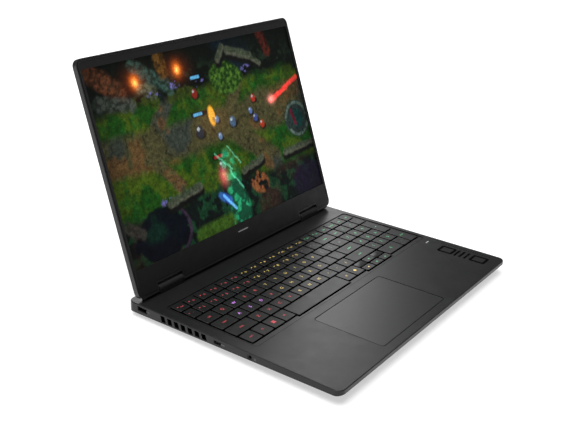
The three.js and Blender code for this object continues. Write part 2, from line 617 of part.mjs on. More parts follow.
function makeFanHousing(label, side) {
  const cx = side * FAN_X;
  const y1 = FAN_Y + FAN_HALF_W + FAN_DUCT;
  const floor = FLOOR_Z + FAN_SHELL;
  const roof = FAN_Z1 - FAN_SHELL;
  const duct = FAN_HALF_W - DUCT_WALL;
  const body = plate(cx - FAN_HALF_W, FAN_Y - FAN_HALF_W, cx + FAN_HALF_W, y1, FAN_CORNER_R, FLOOR_Z,
    FAN_Z1);
  const chamber = rodZ(floor, roof, cx, FAN_Y, ROTOR_R + TIP_GAP);
  const outlet = box(cx - duct, FAN_Y, floor, cx + duct, y1 + CLEAR, roof);
  const eye = rodZ(FLOOR_Z - CLEAR, floor + ROTOR_GAP, cx, FAN_Y, EYE_R);
  addPiece(base, `fan_housing_${label}`, cut(body, chamber, outlet, eye), 'black');
}

function makeFanRotor(label, side) {
  const cx = side * FAN_X;
  let rotor = rodZ(HUB_Z[0], HUB_Z[1], cx, FAN_Y, HUB_R);
  for (let i = 0; i < BLADES; i++) {
    const blade = new THREE.BoxGeometry(ROTOR_R - BLADE_ROOT, BLADE_T, BLADE_H);
    blade.translate((ROTOR_R + BLADE_ROOT) / 2, 0, 0).rotateZ((i * 2 * Math.PI) / BLADES);
    rotor = join(rotor, toSolid(blade.translate(cx, FAN_Y, (HUB_Z[0] + HUB_Z[1]) / 2)));
  }
  addPiece(base, `fan_rotor_${label}`, rotor, 'black');
}

function makeSpeaker(label, side) {
  const { x0, y0, x1, y1, top } = SPEAKER;
  addPiece(base, `speaker_${label}`, sideBox(side, x0, y0, FLOOR_Z, x1, y1, top), 'black');
}

// ---------------------------------------------------------------- hinges
const RING_R = 3.4;            // bracket ring round the pin
const RING_BORE_R = 2.3;
const RING_X0 = 118;
const RING_X1 = 136;
const LEG_HALF = 1.5;          // half the thickness of the bracket's leg
const FOOT_Z = [10, 11.2];     // bracket's foot under the deck
const FOOT_REACH = 24;         // the foot reaches this far forward of the hinge axis
const FOOT_EXTRA = 4;          // and this much past the ring on each side
const BARREL_CAP = 1.5;        // closed outer end of the barrel
const ARM_LOW = -0.5;          // lower edge of the arm, just inside the lid's rim
const ARM_TOP = 22.5;
const ARM_X = [92, 105];
const ARM_Y = [-1.2, 0.6];
const NECK_X = 97;
const NECK_TOP = 1.4;
const PIN_X = [HINGE_X0 - 0.5, RING_X1 + 3];

function makeHingeBase(label, side) {
  const barrel = sideRodX(side, HINGE_X0, HINGE_X1, PIVOT_Y, PIVOT_Z, BARREL_R);
  const pedestal = sideBox(side, HINGE_X0, PIVOT_Y - PEDESTAL_HALF_D, DECK_Z - DECK_T - 0.6,
    HINGE_X1, PIVOT_Y + PEDESTAL_HALF_D, PIVOT_Z);
  const bore = sideRodX(side, HINGE_X0 - CLEAR, HINGE_X1 - BARREL_CAP, PIVOT_Y, PIVOT_Z, BARREL_BORE_R);
  const legRoom = sideBox(side, RING_X0 - GAP, PIVOT_Y - LEG_HALF - GAP, 0, RING_X1 + GAP,
    PIVOT_Y + LEG_HALF + GAP, PIVOT_Z);
  addPiece(base, `hinge_cover_${label}`, cut(join(barrel, pedestal), bore, legRoom), 'graphite');
  const ring = sideRodX(side, RING_X0, RING_X1, PIVOT_Y, PIVOT_Z, RING_R);
  const leg = sideBox(side, RING_X0, PIVOT_Y - LEG_HALF, FOOT_Z[0], RING_X1, PIVOT_Y + LEG_HALF,
    PIVOT_Z - PIN_R);
  const foot = sideBox(side, RING_X0 - FOOT_EXTRA, PIVOT_Y - FOOT_REACH, FOOT_Z[0], RING_X1 + FOOT_EXTRA,
    PIVOT_Y + LEG_HALF, FOOT_Z[1]);
  const pinRoom = sideRodX(side, RING_X0 - CLEAR, RING_X1 + CLEAR, PIVOT_Y, PIVOT_Z, RING_BORE_R);
  addPiece(base, `hinge_bracket_${label}`, cut(join(ring, leg, foot), pinRoom), 'steel');
}

function makeHingeArm(label, side) {
  const pin = sideRodX(side, PIN_X[0], PIN_X[1], 0, 0, PIN_R);
  const neck = sideBox(side, NECK_X, ARM_Y[0], ARM_LOW, HINGE_X0, ARM_Y[1], NECK_TOP);
  const arm = sideBox(side, ARM_X[0], ARM_Y[0], ARM_LOW, ARM_X[1], ARM_Y[1], ARM_TOP);
  addPiece(lid, `hinge_arm_${label}`, join(pin, neck, arm), 'steel');
}

// ---------------------------------------------------------------- lid
// a plate parallel to the screen: x and height in the lid's frame, and its front and back faces
function lidPlate(x0, z0, x1, z1, r, front, back) {
  const geometry = extrude(roundedRing(x0, z0, x1, z1, r), back - front);
  return toSolid(geometry.rotateX(Math.PI / 2).translate(0, back, 0));
}

const lidInset = (inset, r, front, back) => lidPlate(inset - LID_W / 2, LID_BOTTOM + inset,
  LID_W / 2 - inset, LID_TOP - inset, r, front, back);

function hingeNotches(gap) {
  return SIDES.map(([, side]) => sideBox(side, HINGE_X0 - gap, LID_FRONT - CLEAR, LID_BOTTOM - CLEAR,
    HINGE_X1 + gap, LID_BACK + CLEAR, NOTCH_TOP - NOTCH_GAP + gap));
}

// the lip behind a barrel: it closes the notch towards the back at every lid angle
function barrelLip(side) {
  const ends = [HINGE_X0 - NOTCH_GAP - LID_SHELL, HINGE_X1 + NOTCH_GAP + LID_SHELL];
  const behind = sideBox(side, ends[0], LID_BACK - LID_SHELL, LIP_FOOT, ends[1], LIP_R, LIP_R);
  return sideRodX(side, ...ends, 0, 0, LIP_R).intersect(behind);
}

// the lid's lower edge between and beside the barrels: it stays close to the deck at every lid angle
function rolledEdge(side) {
  const spans = [[-CLEAR, HINGE_X0 - NOTCH_GAP], [HINGE_X1 + NOTCH_GAP, LID_W / 2 - LID_R]];
  return spans.map(([x0, x1]) => sideRodX(side, x0, x1, 0, 0, LID_EDGE_R).intersect(
    sideBox(side, x0, LID_FRONT + RIM_SETBACK, -LID_EDGE_R, x1, LID_BACK, LID_BOTTOM + CLEAR)));
}

// what is open round a barrel: the whole notch in front, and a close curve inside the lip
function barrelRoom(side) {
  const ends = [HINGE_X0 - NOTCH_GAP, HINGE_X1 + NOTCH_GAP];
  const front = sideBox(side, ends[0], LID_FRONT - CLEAR, LID_BOTTOM - CLEAR, ends[1],
    LID_BACK - LID_SHELL, NOTCH_TOP);
  const below = sideBox(side, ends[0], 0, LID_BOTTOM - CLEAR, ends[1], LIP_R + CLEAR, LIP_FOOT);
  return join(front, below, sideRodX(side, ...ends, 0, 0, BARREL_R + LIP_GAP));
}

const SHUTTER_TRAVEL = 7;
const SHUTTER_X0 = 3.4;        // at rest the blade stands clear of the lens
const SHUTTER_X1 = 9.6;
const LENS_Z = 248.4;
const LENS_R = 1.8;
const SLOT_Y = [-3, -1.6];     // slot for the shutter's knob in the lid's top edge
const SLOT_GAP = 0.5;          // slot beyond the knob's two end positions

function makeLidCover() {
  const shell = lidInset(0, LID_R, LID_FRONT + RIM_SETBACK, LID_BACK);
  const hollow = lidInset(LID_SHELL, LID_R - LID_SHELL, LID_FRONT - CLEAR, LID_BACK - LID_SHELL);
  const shutterSlot = box(SHUTTER_X0 - SHUTTER_TRAVEL - SLOT_GAP, SLOT_Y[0], LID_TOP - LID_SHELL - CLEAR,
    SHUTTER_X1 + SLOT_GAP, SLOT_Y[1], LID_TOP + CLEAR);
  const necks = SIDES.map(([, side]) => sideBox(side, NECK_X, ARM_Y[0] - GAP, ARM_LOW - GAP, HINGE_X0,
    ARM_Y[1] + GAP, NECK_TOP + GAP));
  const lined = hingeNotches(NOTCH_GAP + LID_SHELL).map((lining) => lining.intersect(shell));
  const lips = SIDES.map(([, side]) => barrelLip(side));
  const rooms = SIDES.map(([, side]) => barrelRoom(side));
  const edges = SIDES.flatMap(([, side]) => rolledEdge(side));
  const cover = join(cut(shell, hollow), ...lined, ...lips, ...edges);
  addPiece(lid, 'lid_cover', cut(cover, ...rooms, shutterSlot, ...necks), 'graphite');
}

function makeBezel() {
  const inset = LID_SHELL + GAP;
  const sheet = lidInset(inset, LID_R - inset, LID_FRONT, LID_FRONT + BEZEL_T);
  const window = box(-SCREEN_W / 2, LID_FRONT - CLEAR, SCREEN_BOTTOM, SCREEN_W / 2, 0,
    SCREEN_BOTTOM + SCREEN_H);
  const lens = rodY(LID_FRONT - CLEAR, 0, 0, LENS_Z, LENS_R);
  const notches = hingeNotches(NOTCH_GAP + LID_SHELL + GAP);
  addPiece(lid, 'bezel', cut(sheet, window, lens, ...notches, sealPath(GAP, SEAL_BACK + GAP)), 'black');
}

const SEAL_INSET = 2.4;
const SEAL_W = 0.8;
const SEAL_PROUD = 0.4;        // the seal stands out of the bezel
const SEAL_BACK = -3.6;
const SEAL_FOOT = 12;          // the seal's two ends stop above the hinges

// up one side of the lid, across the top and down the other side
function sealPath(grow, back) {
  const outer = lidInset(SEAL_INSET - grow, LID_R - SEAL_INSET + grow, LID_FRONT - SEAL_PROUD, back);
  const inner = lidInset(SEAL_INSET + SEAL_W + grow, LID_R - SEAL_INSET - SEAL_W - grow,
    LID_FRONT - CLEAR, back + CLEAR);
  const foot = box(-LID_W, LID_FRONT - CLEAR, LID_BOTTOM - CLEAR, LID_W, back + CLEAR, SEAL_FOOT - grow);
  return cut(outer, inner, foot);
}

const GLASS_T = 1.3;
const GLASS_OVERLAP = 2.4;     // glass hidden behind the bezel at the sides and the top
const GLASS_FOOT = 4;          // and below the picture
const GLASS_R = 1;
const BACKLIGHT_FOOT = 3;
const BACKLIGHT_BACK = 0.6;

function makeDisplay() {
  const front = LID_FRONT + BEZEL_T + GAP;
  const half = SCREEN_W / 2;
  const top = SCREEN_BOTTOM + SCREEN_H;
  addPiece(lid, 'display_panel', lidPlate(-half - GLASS_OVERLAP, SCREEN_BOTTOM - GLASS_FOOT,
    half + GLASS_OVERLAP, top + GLASS_OVERLAP, GLASS_R, front, front + GLASS_T), 'glass');
  addPiece(lid, 'backlight_plate', lidPlate(-half, SCREEN_BOTTOM - BACKLIGHT_FOOT, half, top, GLASS_R,
    front + GLASS_T + GAP, BACKLIGHT_BACK), 'aluminium');
}

const CAMERA_HALF_W = 24;
const CAMERA_HALF_H = 2.6;
const CAMERA_BOARD_Y = [-0.6, 0.5];
const CAMERA_LENS_R = 1.6;
const CAMERA_LENS_FRONT = -1.8;
const BLADE_PLATE_Y = [-2.5, -2.1];
const BLADE_PLATE_TOP = LID_TOP - 2;
const KNOB_Y = [-2.7, -1.9];
const KNOB_FOOT = 3;           // the knob reaches this far down from the lid's top edge
const KNOB_PROUD = 0.4;

function makeWebcam() {
  const board = box(-CAMERA_HALF_W, CAMERA_BOARD_Y[0], LENS_Z - CAMERA_HALF_H, CAMERA_HALF_W,
    CAMERA_BOARD_Y[1], LENS_Z + CAMERA_HALF_H);
  const lens = rodY(CAMERA_LENS_FRONT, 0, 0, LENS_Z, CAMERA_LENS_R);
  addPiece(lid, 'webcam_module', join(board, lens), 'board');
  const blade = box(SHUTTER_X0 - 1, BLADE_PLATE_Y[0], LENS_Z - LENS_R - GAP, SHUTTER_X1,
    BLADE_PLATE_Y[1], BLADE_PLATE_TOP);
  const knob = box(SHUTTER_X0, KNOB_Y[0], LID_TOP - KNOB_FOOT, SHUTTER_X1, KNOB_Y[1], LID_TOP + KNOB_PROUD);
  addPiece(lid, 'camera_shutter', join(blade, knob), 'black');
}

// ---------------------------------------------------------------- assembly
makeTopCover();
makeBottomCover();
makeRearGrille();
makeFeet();
makePorts();
makeKeyBanks();
const fixedPads = makeBottomRow();
makeNumberPad();
makeKeyboardBack(fixedPads);
makeTouchpad();
makeElectronics();
makeCooling();
for (const [label, side] of SIDES) {
  makeFanHousing(label, side);
  makeFanRotor(label, side);
  makeSpeaker(label, side);
  makeHingeBase(label, side);
  makeHingeArm(label, side);
}
makeLidCover();
makeBezel();
addPiece(lid, 'lid_seal', sealPath(0, SEAL_BACK), 'rubber');
makeDisplay();
makeWebcam();

export default laptop;
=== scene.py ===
"""Looks of a slim 16-inch-class laptop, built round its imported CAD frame.

Shapes are drawn in millimetres in one of a few flat drawing planes (the deck, the lid's face, a
side wall) and placed in the frame by that plane's matrix, so every piece lands where the CAD has
its node.
"""

import json
import math

import bmesh
import bpy
import numpy as np
from mathutils import Matrix, Vector


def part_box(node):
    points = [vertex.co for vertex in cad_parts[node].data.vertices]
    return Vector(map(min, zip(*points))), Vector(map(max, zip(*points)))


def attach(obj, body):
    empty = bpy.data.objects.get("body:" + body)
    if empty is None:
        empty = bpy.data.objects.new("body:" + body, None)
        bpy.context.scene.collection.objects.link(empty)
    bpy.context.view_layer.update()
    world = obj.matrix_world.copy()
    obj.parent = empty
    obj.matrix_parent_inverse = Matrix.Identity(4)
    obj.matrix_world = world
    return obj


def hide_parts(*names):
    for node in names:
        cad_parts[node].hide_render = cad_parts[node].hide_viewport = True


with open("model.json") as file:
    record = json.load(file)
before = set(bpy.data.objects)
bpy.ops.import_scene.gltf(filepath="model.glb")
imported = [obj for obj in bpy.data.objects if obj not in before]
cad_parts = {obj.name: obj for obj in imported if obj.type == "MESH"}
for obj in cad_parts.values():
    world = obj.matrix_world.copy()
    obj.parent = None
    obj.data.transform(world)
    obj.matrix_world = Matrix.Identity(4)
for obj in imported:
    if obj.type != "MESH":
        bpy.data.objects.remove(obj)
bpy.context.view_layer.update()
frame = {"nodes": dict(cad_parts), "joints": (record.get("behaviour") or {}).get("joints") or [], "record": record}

MM = 0.001
TOP_LO, TOP_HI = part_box("top_cover")
DECK = TOP_HI.z / MM                     # deck height above the desk
BODY_D = (TOP_HI.y - TOP_LO.y) / MM
HALF_W = TOP_HI.x / MM
LID_TILT = math.radians(19.1)
HINGE = Vector(next(j["pos_m"] for j in frame["joints"] if j["name"] == "lid_hinge"))
BEZEL_W = 4.0                            # bezel face in front of the hinge axis
BODY_OF = {n: b for b, ns in frame["record"]["behaviour"]["bodies"].items() for n in ns}


def plane(origin, u, v, w):
    """Drawing plane: its origin in metres and its right, up and outward directions."""
    m = Matrix((u, v, w)).transposed().to_4x4()
    return Matrix.Translation(origin) @ m


# deck: x from the centre line, y from the front edge, z above the desk
BASE = plane((0, TOP_LO.y, 0), (1, 0, 0), (0, 1, 0), (0, 0, 1))
UNDER = plane((0, TOP_LO.y, 0), (-1, 0, 0), (0, 1, 0), (0, 0, -1))
# walls: along the wall, height above the desk, out of the wall; y and x as on the deck
LEFT = plane((-HALF_W * MM, TOP_LO.y, 0), (0, -1, 0), (0, 0, 1), (-1, 0, 0))
RIGHT = plane((HALF_W * MM, TOP_LO.y, 0), (0, 1, 0), (0, 0, 1), (1, 0, 0))
REAR = plane((0, TOP_HI.y, 0), (-1, 0, 0), (0, 0, 1), (0, 1, 0))
# lid: x from the centre line, height above the hinge axis, towards the user
LID = (Matrix.Translation(HINGE) @ Matrix.Rotation(-LID_TILT, 4, "X")
       @ Matrix.Rotation(math.pi / 2, 4, "X"))
LID_BACK = LID @ Matrix.Rotation(math.pi, 4, "Y")


# ------------------------------------------------------------------ materials
def srgb(*rgb):
    """Colour given as 0 to 255 display values."""
    return tuple(((c / 255 + 0.055) / 1.055) ** 2.4 if c > 10 else c / 255 / 12.92 for c in rgb) + (1,)


class Nodes:
    """A material's node tree with short calls to add and link nodes."""

    def __init__(self, name):
        self.mat = bpy.data.materials.new(name)
        self.mat.use_nodes = True
        self.tree = self.mat.node_tree
        self.bsdf = self.tree.nodes["Principled BSDF"]
        self.coords = self.add("ShaderNodeTexCoord").outputs["Object"]

    def add(self, kind, **settings):
        node = self.tree.nodes.new(kind)
        for key, value in settings.items():
            if hasattr(node, key):
                setattr(node, key, value)
            else:
                node.inputs[key.replace("_", " ")].default_value = value
        return node

    def link(self, a, b):
        self.tree.links.new(a, b)

    def noise(self, scale, detail=3.0, rough=0.55, stretch=(1, 1, 1)):
        """Cloudy values in the object's own space, finer along stretched axes."""
        mapping = self.add("ShaderNodeMapping")
        mapping.inputs["Scale"].default_value = stretch
        self.link(self.coords, mapping.inputs["Vector"])
        node = self.add("ShaderNodeTexNoise", Scale=scale, Detail=detail, Roughness=rough)
        self.link(mapping.outputs["Vector"], node.inputs["Vector"])
        return node.outputs["Fac"]

    def span(self, value, lo, hi, low=0.3, high=0.7):
        """Carry a value between low and high over to the span from lo to hi."""
        node = self.add("ShaderNodeMapRange", From_Min=low, From_Max=high, To_Min=lo, To_Max=hi)
        self.link(value, node.inputs["Value"])
        return node.outputs["Result"]

    def feed(self, socket, source):
        """Link a socket to another one, or set it to a constant."""
        if isinstance(source, bpy.types.NodeSocket):
            self.link(source, socket)
        else:
            socket.default_value = source

    def mix(self, value, a, b, mode="MIX"):
        node = self.add("ShaderNodeMix", data_type="RGBA", blend_type=mode)
        for index, source in ((0, value), (6, a), (7, b)):
            self.feed(node.inputs[index], source)
        return node.outputs[2]

    def bump(self, height, strength, distance):
        node = self.add("ShaderNodeBump", Strength=strength, Distance=distance)
        self.link(height, node.inputs["Height"])
        self.link(node.outputs["Normal"], self.bsdf.inputs["Normal"])


GRAIN_DEPTH = 0.00002          # metres


def moulded(name, colour, rough, metal=0.0, grain=2600.0, relief=0.25, mottle=0.1, smudge=0.08,
            specular=0.5, stretch=(1, 1, 1)):
    """A coated or moulded surface: fine grain in the relief, faint cloudiness in colour and gloss."""
    n = Nodes(name)
    cloud = n.noise(22.0, 4.0, 0.6)
    dark = tuple(c * (1 - mottle) for c in colour[:3]) + (1,)
    light = tuple(c * (1 + mottle) for c in colour[:3]) + (1,)
    n.link(n.mix(n.span(cloud, 0.0, 1.0), dark, light), n.bsdf.inputs["Base Color"])
    streak = n.noise(90.0, 5.0, 0.65, stretch)
    n.link(n.span(streak, rough - smudge, rough + smudge), n.bsdf.inputs["Roughness"])
    n.bsdf.inputs["Metallic"].default_value = metal
    n.bsdf.inputs["Specular IOR Level"].default_value = specular
    n.bump(n.noise(grain, 2.0, 0.5, stretch), relief, GRAIN_DEPTH)
    return n.mat


def glowing(name, colour, strength):
    """A translucent legend or lamp lit from behind, a little uneven."""
    n = Nodes(name)
    n.bsdf.inputs["Base Color"].default_value = (0.05, 0.05, 0.05, 1)
    n.bsdf.inputs["Roughness"].default_value = 0.5
    uneven = n.span(n.noise(420.0, 2.0), 0.55, 1.0)
    n.link(n.mix(uneven, (0.02, 0.02, 0.02, 1), colour), n.bsdf.inputs["Emission Color"])
    n.bsdf.inputs["Emission Strength"].default_value = strength
    return n.mat


def board_material():
    """Green solder mask over copper tracks, with rows of small parts."""
    n = Nodes("board")
    tracks = n.add("ShaderNodeTexWave", Scale=160.0, Distortion=6.0, Detail=1.0)
    n.link(n.coords, tracks.inputs["Vector"])
    cells = n.add("ShaderNodeTexVoronoi", Scale=240.0)
    n.link(n.coords, cells.inputs["Vector"])
    mask = n.mix(n.span(tracks.outputs["Fac"], 0.0, 1.0, 0.45, 0.6), srgb(16, 52, 32), srgb(28, 84, 50))
    parts = n.span(cells.outputs["Distance"], 1.0, 0.0, 0.12, 0.2)
    n.link(n.mix(parts, mask, srgb(150, 140, 110)), n.bsdf.inputs["Base Color"])
    n.bsdf.inputs["Roughness"].default_value = 0.42
    n.bump(parts, 0.4, 0.0003)
    return n.mat


M = {
    "deck": moulded("deck_coat", srgb(21, 21, 22), 0.37, grain=3200.0, relief=0.2, smudge=0.03,
                    specular=0.34),
    "lid": moulded("lid_coat", srgb(23, 23, 24), 0.4, grain=3200.0, relief=0.2, smudge=0.03),
    "bezel": moulded("bezel_plastic", srgb(13, 13, 13), 0.55, grain=2400.0, relief=0.35, specular=0.32),
    "barrel": moulded("barrel_plastic", srgb(22, 22, 22), 0.6, grain=2400.0, relief=0.3, specular=0.3),
    "bottom": moulded("bottom_plastic", srgb(26, 26, 27), 0.6, grain=1900.0, relief=0.5, specular=0.4),
    "cap": moulded("key_plastic", srgb(20, 20, 21), 0.38, grain=3000.0, relief=0.2, smudge=0.04,
                   specular=0.29),
    "pad": moulded("touchpad_glass", srgb(21, 21, 22), 0.36, grain=4200.0, relief=0.12, smudge=0.02,
                   specular=0.4),
    "well": moulded("well_shadow", srgb(9, 9, 9), 0.8, specular=0.0),
    # darker copy of the key plastic for the caps' sides: painted shade, so the gaps between caps read black
    "skirt_painted_shade": moulded("key_skirt_painted_shade", srgb(9, 9, 9), 0.7, specular=0.0),
    "rubber": moulded("rubber", srgb(24, 24, 24), 0.85, grain=1400.0, relief=0.6),
    "plastic": moulded("black_plastic", srgb(20, 20, 21), 0.55, grain=2000.0, relief=0.4, specular=0.3),
    "steel": moulded("port_steel", srgb(62, 62, 64), 0.42, metal=1.0, stretch=(1, 14, 1)),
    "spring": moulded("bracket_steel", srgb(150, 151, 153), 0.42, metal=1.0, stretch=(14, 1, 1)),
    "fins": moulded("fin_aluminium", srgb(190, 191, 193), 0.4, metal=1.0, stretch=(1, 1, 20)),
    "copper": moulded("copper", srgb(190, 116, 72), 0.32, metal=1.0, stretch=(10, 1, 1)),
    "gold": moulded("contact_gold", srgb(214, 176, 92), 0.28, metal=1.0),
    "wrap": moulded("battery_wrap", srgb(30, 30, 31), 0.62, grain=900.0, relief=0.5),
    "screw": moulded("screw_steel", srgb(70, 70, 72), 0.35, metal=1.0),
    "print": moulded("side_print", srgb(150, 150, 150), 0.6),
    "glass": moulded("lens_glass", srgb(8, 9, 12), 0.08, relief=0.0, smudge=0.02),
    # dark inlay on the deck, and also painted shade: the gap lines round the touchpad and keyboard and the screw
    # recesses
    "slot": moulded("slot_inlay", srgb(8, 8, 8), 0.6, specular=0.0),
    "red": glowing("legend_red", srgb(236, 38, 54), 1.1),
    "violet": glowing("legend_violet", srgb(214, 130, 244), 1.9),
    "amber": glowing("legend_amber", srgb(236, 204, 92), 1.5),
    "green": glowing("legend_green", srgb(74, 220, 130), 1.3),
    "dim": glowing("legend_dim", srgb(120, 134, 124), 0.7),
    "lamp": glowing("status_lamp", srgb(235, 240, 245), 1.0),
    "board": board_material(),
}


# ------------------------------------------------------------------ mesh tools
def outline(x0, y0, x1, y1, r, z, steps=5):
    """Rounded rectangle as a ring of points."""
    ring = []
    corners = ((x1 - r, y0 + r, -90), (x1 - r, y1 - r, 0), (x0 + r, y1 - r, 90), (x0 + r, y0 + r, 180))
    for cx, cy, start in corners:
        for i in range(steps + 1):
            a = math.radians(start + 90 * i / steps)
            ring.append((cx + r * math.cos(a), cy + r * math.sin(a), z))
    return ring


def circle(x, y, r, z, steps=32):
    """Circle as a ring of points."""
    turns = (2 * math.pi * i / steps for i in range(steps))
    return [(x + r * math.cos(a), y + r * math.sin(a), z) for a in turns]


class Sketch:
    """Points and faces of one piece, in millimetres in its drawing plane."""

    def __init__(self):
        self.points, self.faces, self.kinds = [], [], []

    def loft(self, rings, kind=0, close_low=True, close_high=True):
        """Skin through rings of equal length; kind is one material for all, or one for each band."""
        start, n = len(self.points), len(rings[0])
        bands = kind if isinstance(kind, list) else [kind] * (len(rings) - 1)
        for ring in rings:
            self.points += ring
        for k in range(len(rings) - 1):
            for i in range(n):
                a, b = start + k * n + i, start + k * n + (i + 1) % n
                self.add((a, b, b + n, a + n), bands[k])
        if close_low:
            self.add(tuple(reversed(range(start, start + n))), bands[0])
        if close_high:
            self.add(tuple(range(len(self.points) - n, len(self.points))), bands[-1])

    def add(self, face, kind=0):
        self.faces.append(face)
        self.kinds.append(kind)

    def plate(self, x0, y0, x1, y1, r, z0, z1, bevel=0.15, kind=0):
        """Rounded plate with its upper and lower edges broken."""
        inner = max(r - bevel, 0.02)
        self.loft([outline(x0 + bevel, y0 + bevel, x1 - bevel, y1 - bevel, inner, z0),
                   outline(x0, y0, x1, y1, r, z0 + bevel),
                   outline(x0, y0, x1, y1, r, z1 - bevel),
                   outline(x0 + bevel * 0.3, y0 + bevel * 0.3, x1 - bevel * 0.3, y1 - bevel * 0.3,
                           max(r - bevel * 0.3, 0.02), z1 - bevel * 0.3),
                   outline(x0 + bevel, y0 + bevel, x1 - bevel, y1 - bevel, inner, z1)], kind)

    def disc(self, x, y, r, z0, z1, bevel=0.15, kind=0):
        """Round plate with its upper edge broken."""
        self.loft([circle(x, y, r, z0), circle(x, y, r, z1 - bevel), circle(x, y, r - bevel, z1)], kind)

    def washer(self, x, y, r, bore, z0, z1, kind=0):
        """Ring with a broken outer edge, open through its middle."""
        rings = [circle(x, y, bore, z0), circle(x, y, r, z0), circle(x, y, r, z1 - 0.1),
                 circle(x, y, r - 0.1, z1), circle(x, y, bore + 0.1, z1), circle(x, y, bore, z1 - 0.1),
                 circle(x, y, bore, z0)]
        self.loft(rings, kind, close_low=False, close_high=False)

    def band(self, rect, r, out, into, z0, z1, kind=0):
        """Line of material along a rounded rectangle, reaching out and into it by given widths."""
        x0, y0, x1, y1 = rect
        wide, thin = ([outline(x0 - g, y0 - g, x1 + g, y1 + g, max(r + g, 0.1), z) for z in (z0, z1)]
                      for g in (out, -into))
        self.loft([wide[0], wide[1], thin[1], thin[0]], kind, close_low=False, close_high=False)

    def glyphs(self, text, x, y, z, height, kind=0):
        """A short legend, centred on a point."""
        curve = bpy.data.curves.new("legend", "FONT")
        curve.body, curve.size, curve.resolution_u = text, 1.0, 3
        holder = bpy.data.objects.new("legend", curve)
        mesh = bpy.data.meshes.new_from_object(holder)
        co = np.array([v.co[:2] for v in mesh.vertices])
        mid = (co.min(0) + co.max(0)) / 2
        scale = height / 0.7
        start = len(self.points)
        self.points += [(x + (px - mid[0]) * scale, y + (py - mid[1]) * scale, z) for px, py in co]
        for poly in mesh.polygons:
            self.add(tuple(start + i for i in poly.vertices), kind)
        bpy.data.objects.remove(holder)
        bpy.data.curves.remove(curve)
        bpy.data.meshes.remove(mesh)


def piece(name, sketch, place, body, materials, replaces=(), angle=35):
    """Turn a sketch into an object that rides a body, and may stand in for CAD nodes."""
    mesh = bpy.data.meshes.new(name)
    mesh.from_pydata([tuple(c * MM for c in p) for p in sketch.points], [], sketch.faces)
    for key in materials:
        mesh.materials.append(M[key])
    mesh.polygons.foreach_set("material_index", sketch.kinds)
    mesh.validate()
    mesh.shade_smooth()
    mesh.set_sharp_from_angle(angle=math.radians(angle))
    obj = bpy.data.objects.new(name, mesh)
    bpy.context.scene.collection.objects.link(obj)
    obj.matrix_world = place
    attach(obj, body)
    if replaces:
        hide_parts(*replaces)
    return obj


def broken_edges(node, key, width):
    """The node's own solid with its hard edges rounded, in place of the plain one."""
    bm = bmesh.new()
    bm.from_mesh(frame["nodes"][node].data)
    bmesh.ops.remove_doubles(bm, verts=bm.verts[:], dist=1e-6)
    bmesh.ops.dissolve_limit(bm, angle_limit=math.radians(0.5), verts=bm.verts[:], edges=bm.edges[:])
    mesh = bpy.data.meshes.new(node + "_shape")
    bm.to_mesh(mesh)
    bm.free()
    mesh.materials.append(M[key])
    mesh.shade_smooth()
    obj = bpy.data.objects.new(node + "_shape", mesh)
    bpy.context.scene.collection.objects.link(obj)
    edge = obj.modifiers.new("edges", "BEVEL")
    edge.width, edge.segments, edge.limit_method = width * MM, 2, "ANGLE"
    edge.angle_limit, edge.use_clamp_overlap = math.radians(33), True
    flat = obj.modifiers.new("flat_faces", "WEIGHTED_NORMAL")
    flat.mode, flat.weight = "FACE_AREA", 100
    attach(obj, BODY_OF[node])
    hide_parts(node)


def finish_node(node, key):
    """A CAD node whose plain shape is right keeps it and gets its material."""
    mesh = frame["nodes"][node].data
    mesh.materials.clear()
    mesh.materials.append(M[key])


# ------------------------------------------------------------------ keys
def cap_tops(node):
    """Flat tops of a key node's caps in deck millimetres, from the back row on and from the left."""
    bm = bmesh.new()
    bm.from_mesh(frame["nodes"][node].data)
    bmesh.ops.remove_doubles(bm, verts=bm.verts[:], dist=1e-6)
    top = max(v.co.z for v in bm.verts)
    left = {f for f in bm.faces if all(v.co.z > top - 1e-5 for v in f.verts)}
    tops = []
    while left:
        patch, queue = set(), [left.pop()]
        while queue:
            face = queue.pop()
            patch.add(face)
            near = {g for e in face.edges for g in e.link_faces if g in left}
            left -= near
            queue += near
        xs = [v.co.x / MM for f in patch for v in f.verts]
        ys = [(v.co.y - TOP_LO.y) / MM for f in patch for v in f.verts]
        tops.append((min(xs), min(ys), max(xs), max(ys)))
    bm.free()
    return sorted(tops, key=lambda t: (-round(t[3]), t[0])), top / MM


LEGENDS = {
    "function_row_keys": "esc f1 f2 f3 f4 f5 f6 f7 f8 f9 f10 f11 f12 prt ins del home end pg".split(),
    "number_row_keys": "` 1 2 3 4 5 6 7 8 9 0 - =".split(),
    "backspace_key": ["back"],
    "upper_row_keys": "tab Q W E R T Y U I O P [ ] #".split(),
    "home_row_keys": "caps A S D F G H J K L ; '".split(),
    "enter_key": ["enter"],
    "left_shift_key": ["shift"],
    "lower_row_keys": "Z X C V B N M , . /".split(),
    "right_shift_key": ["shift"],
    "modifier_keys_left": ["ctrl", "fn", "SQUARE", "alt"],
    "space_key": [""],
    "modifier_keys_right": ["alt", "DISC"],
    "arrow_left_key": ["LEFT"],
    "arrow_down_key": ["DOWN"],
    "arrow_right_key": ["RIGHT"],
    "arrow_up_key": ["UP"],
    "numpad_keys": "num / * - 7 8 9 + 4 5 6 1 2 3 enter 0 .".split(),
}
ARROWS = {"LEFT": 180, "DOWN": -90, "RIGHT": 0, "UP": 90}
GLOWS = ["red", "violet", "amber", "green", "dim"]
UPPER_MARKS = ("function_row_keys", "number_row_keys")     # rows with a second mark on each cap
NUMBER_PAD_X = 102             # where the number pad starts
RED_TO_X, AMBER_TO_X = -58, 64  # the lit zones, from the left: red, amber, green
MARK_DEPTH = 0.01
LETTER, WORD = 3.7, 2.5        # heights of a single character and of a word
CAP_DEPTH = 2.2
CAP_SHARE = 0.5                # how far a cap's foot stands out beyond its flat top
DISH = 0.1                     # depth of the shallow hollow in a cap's top


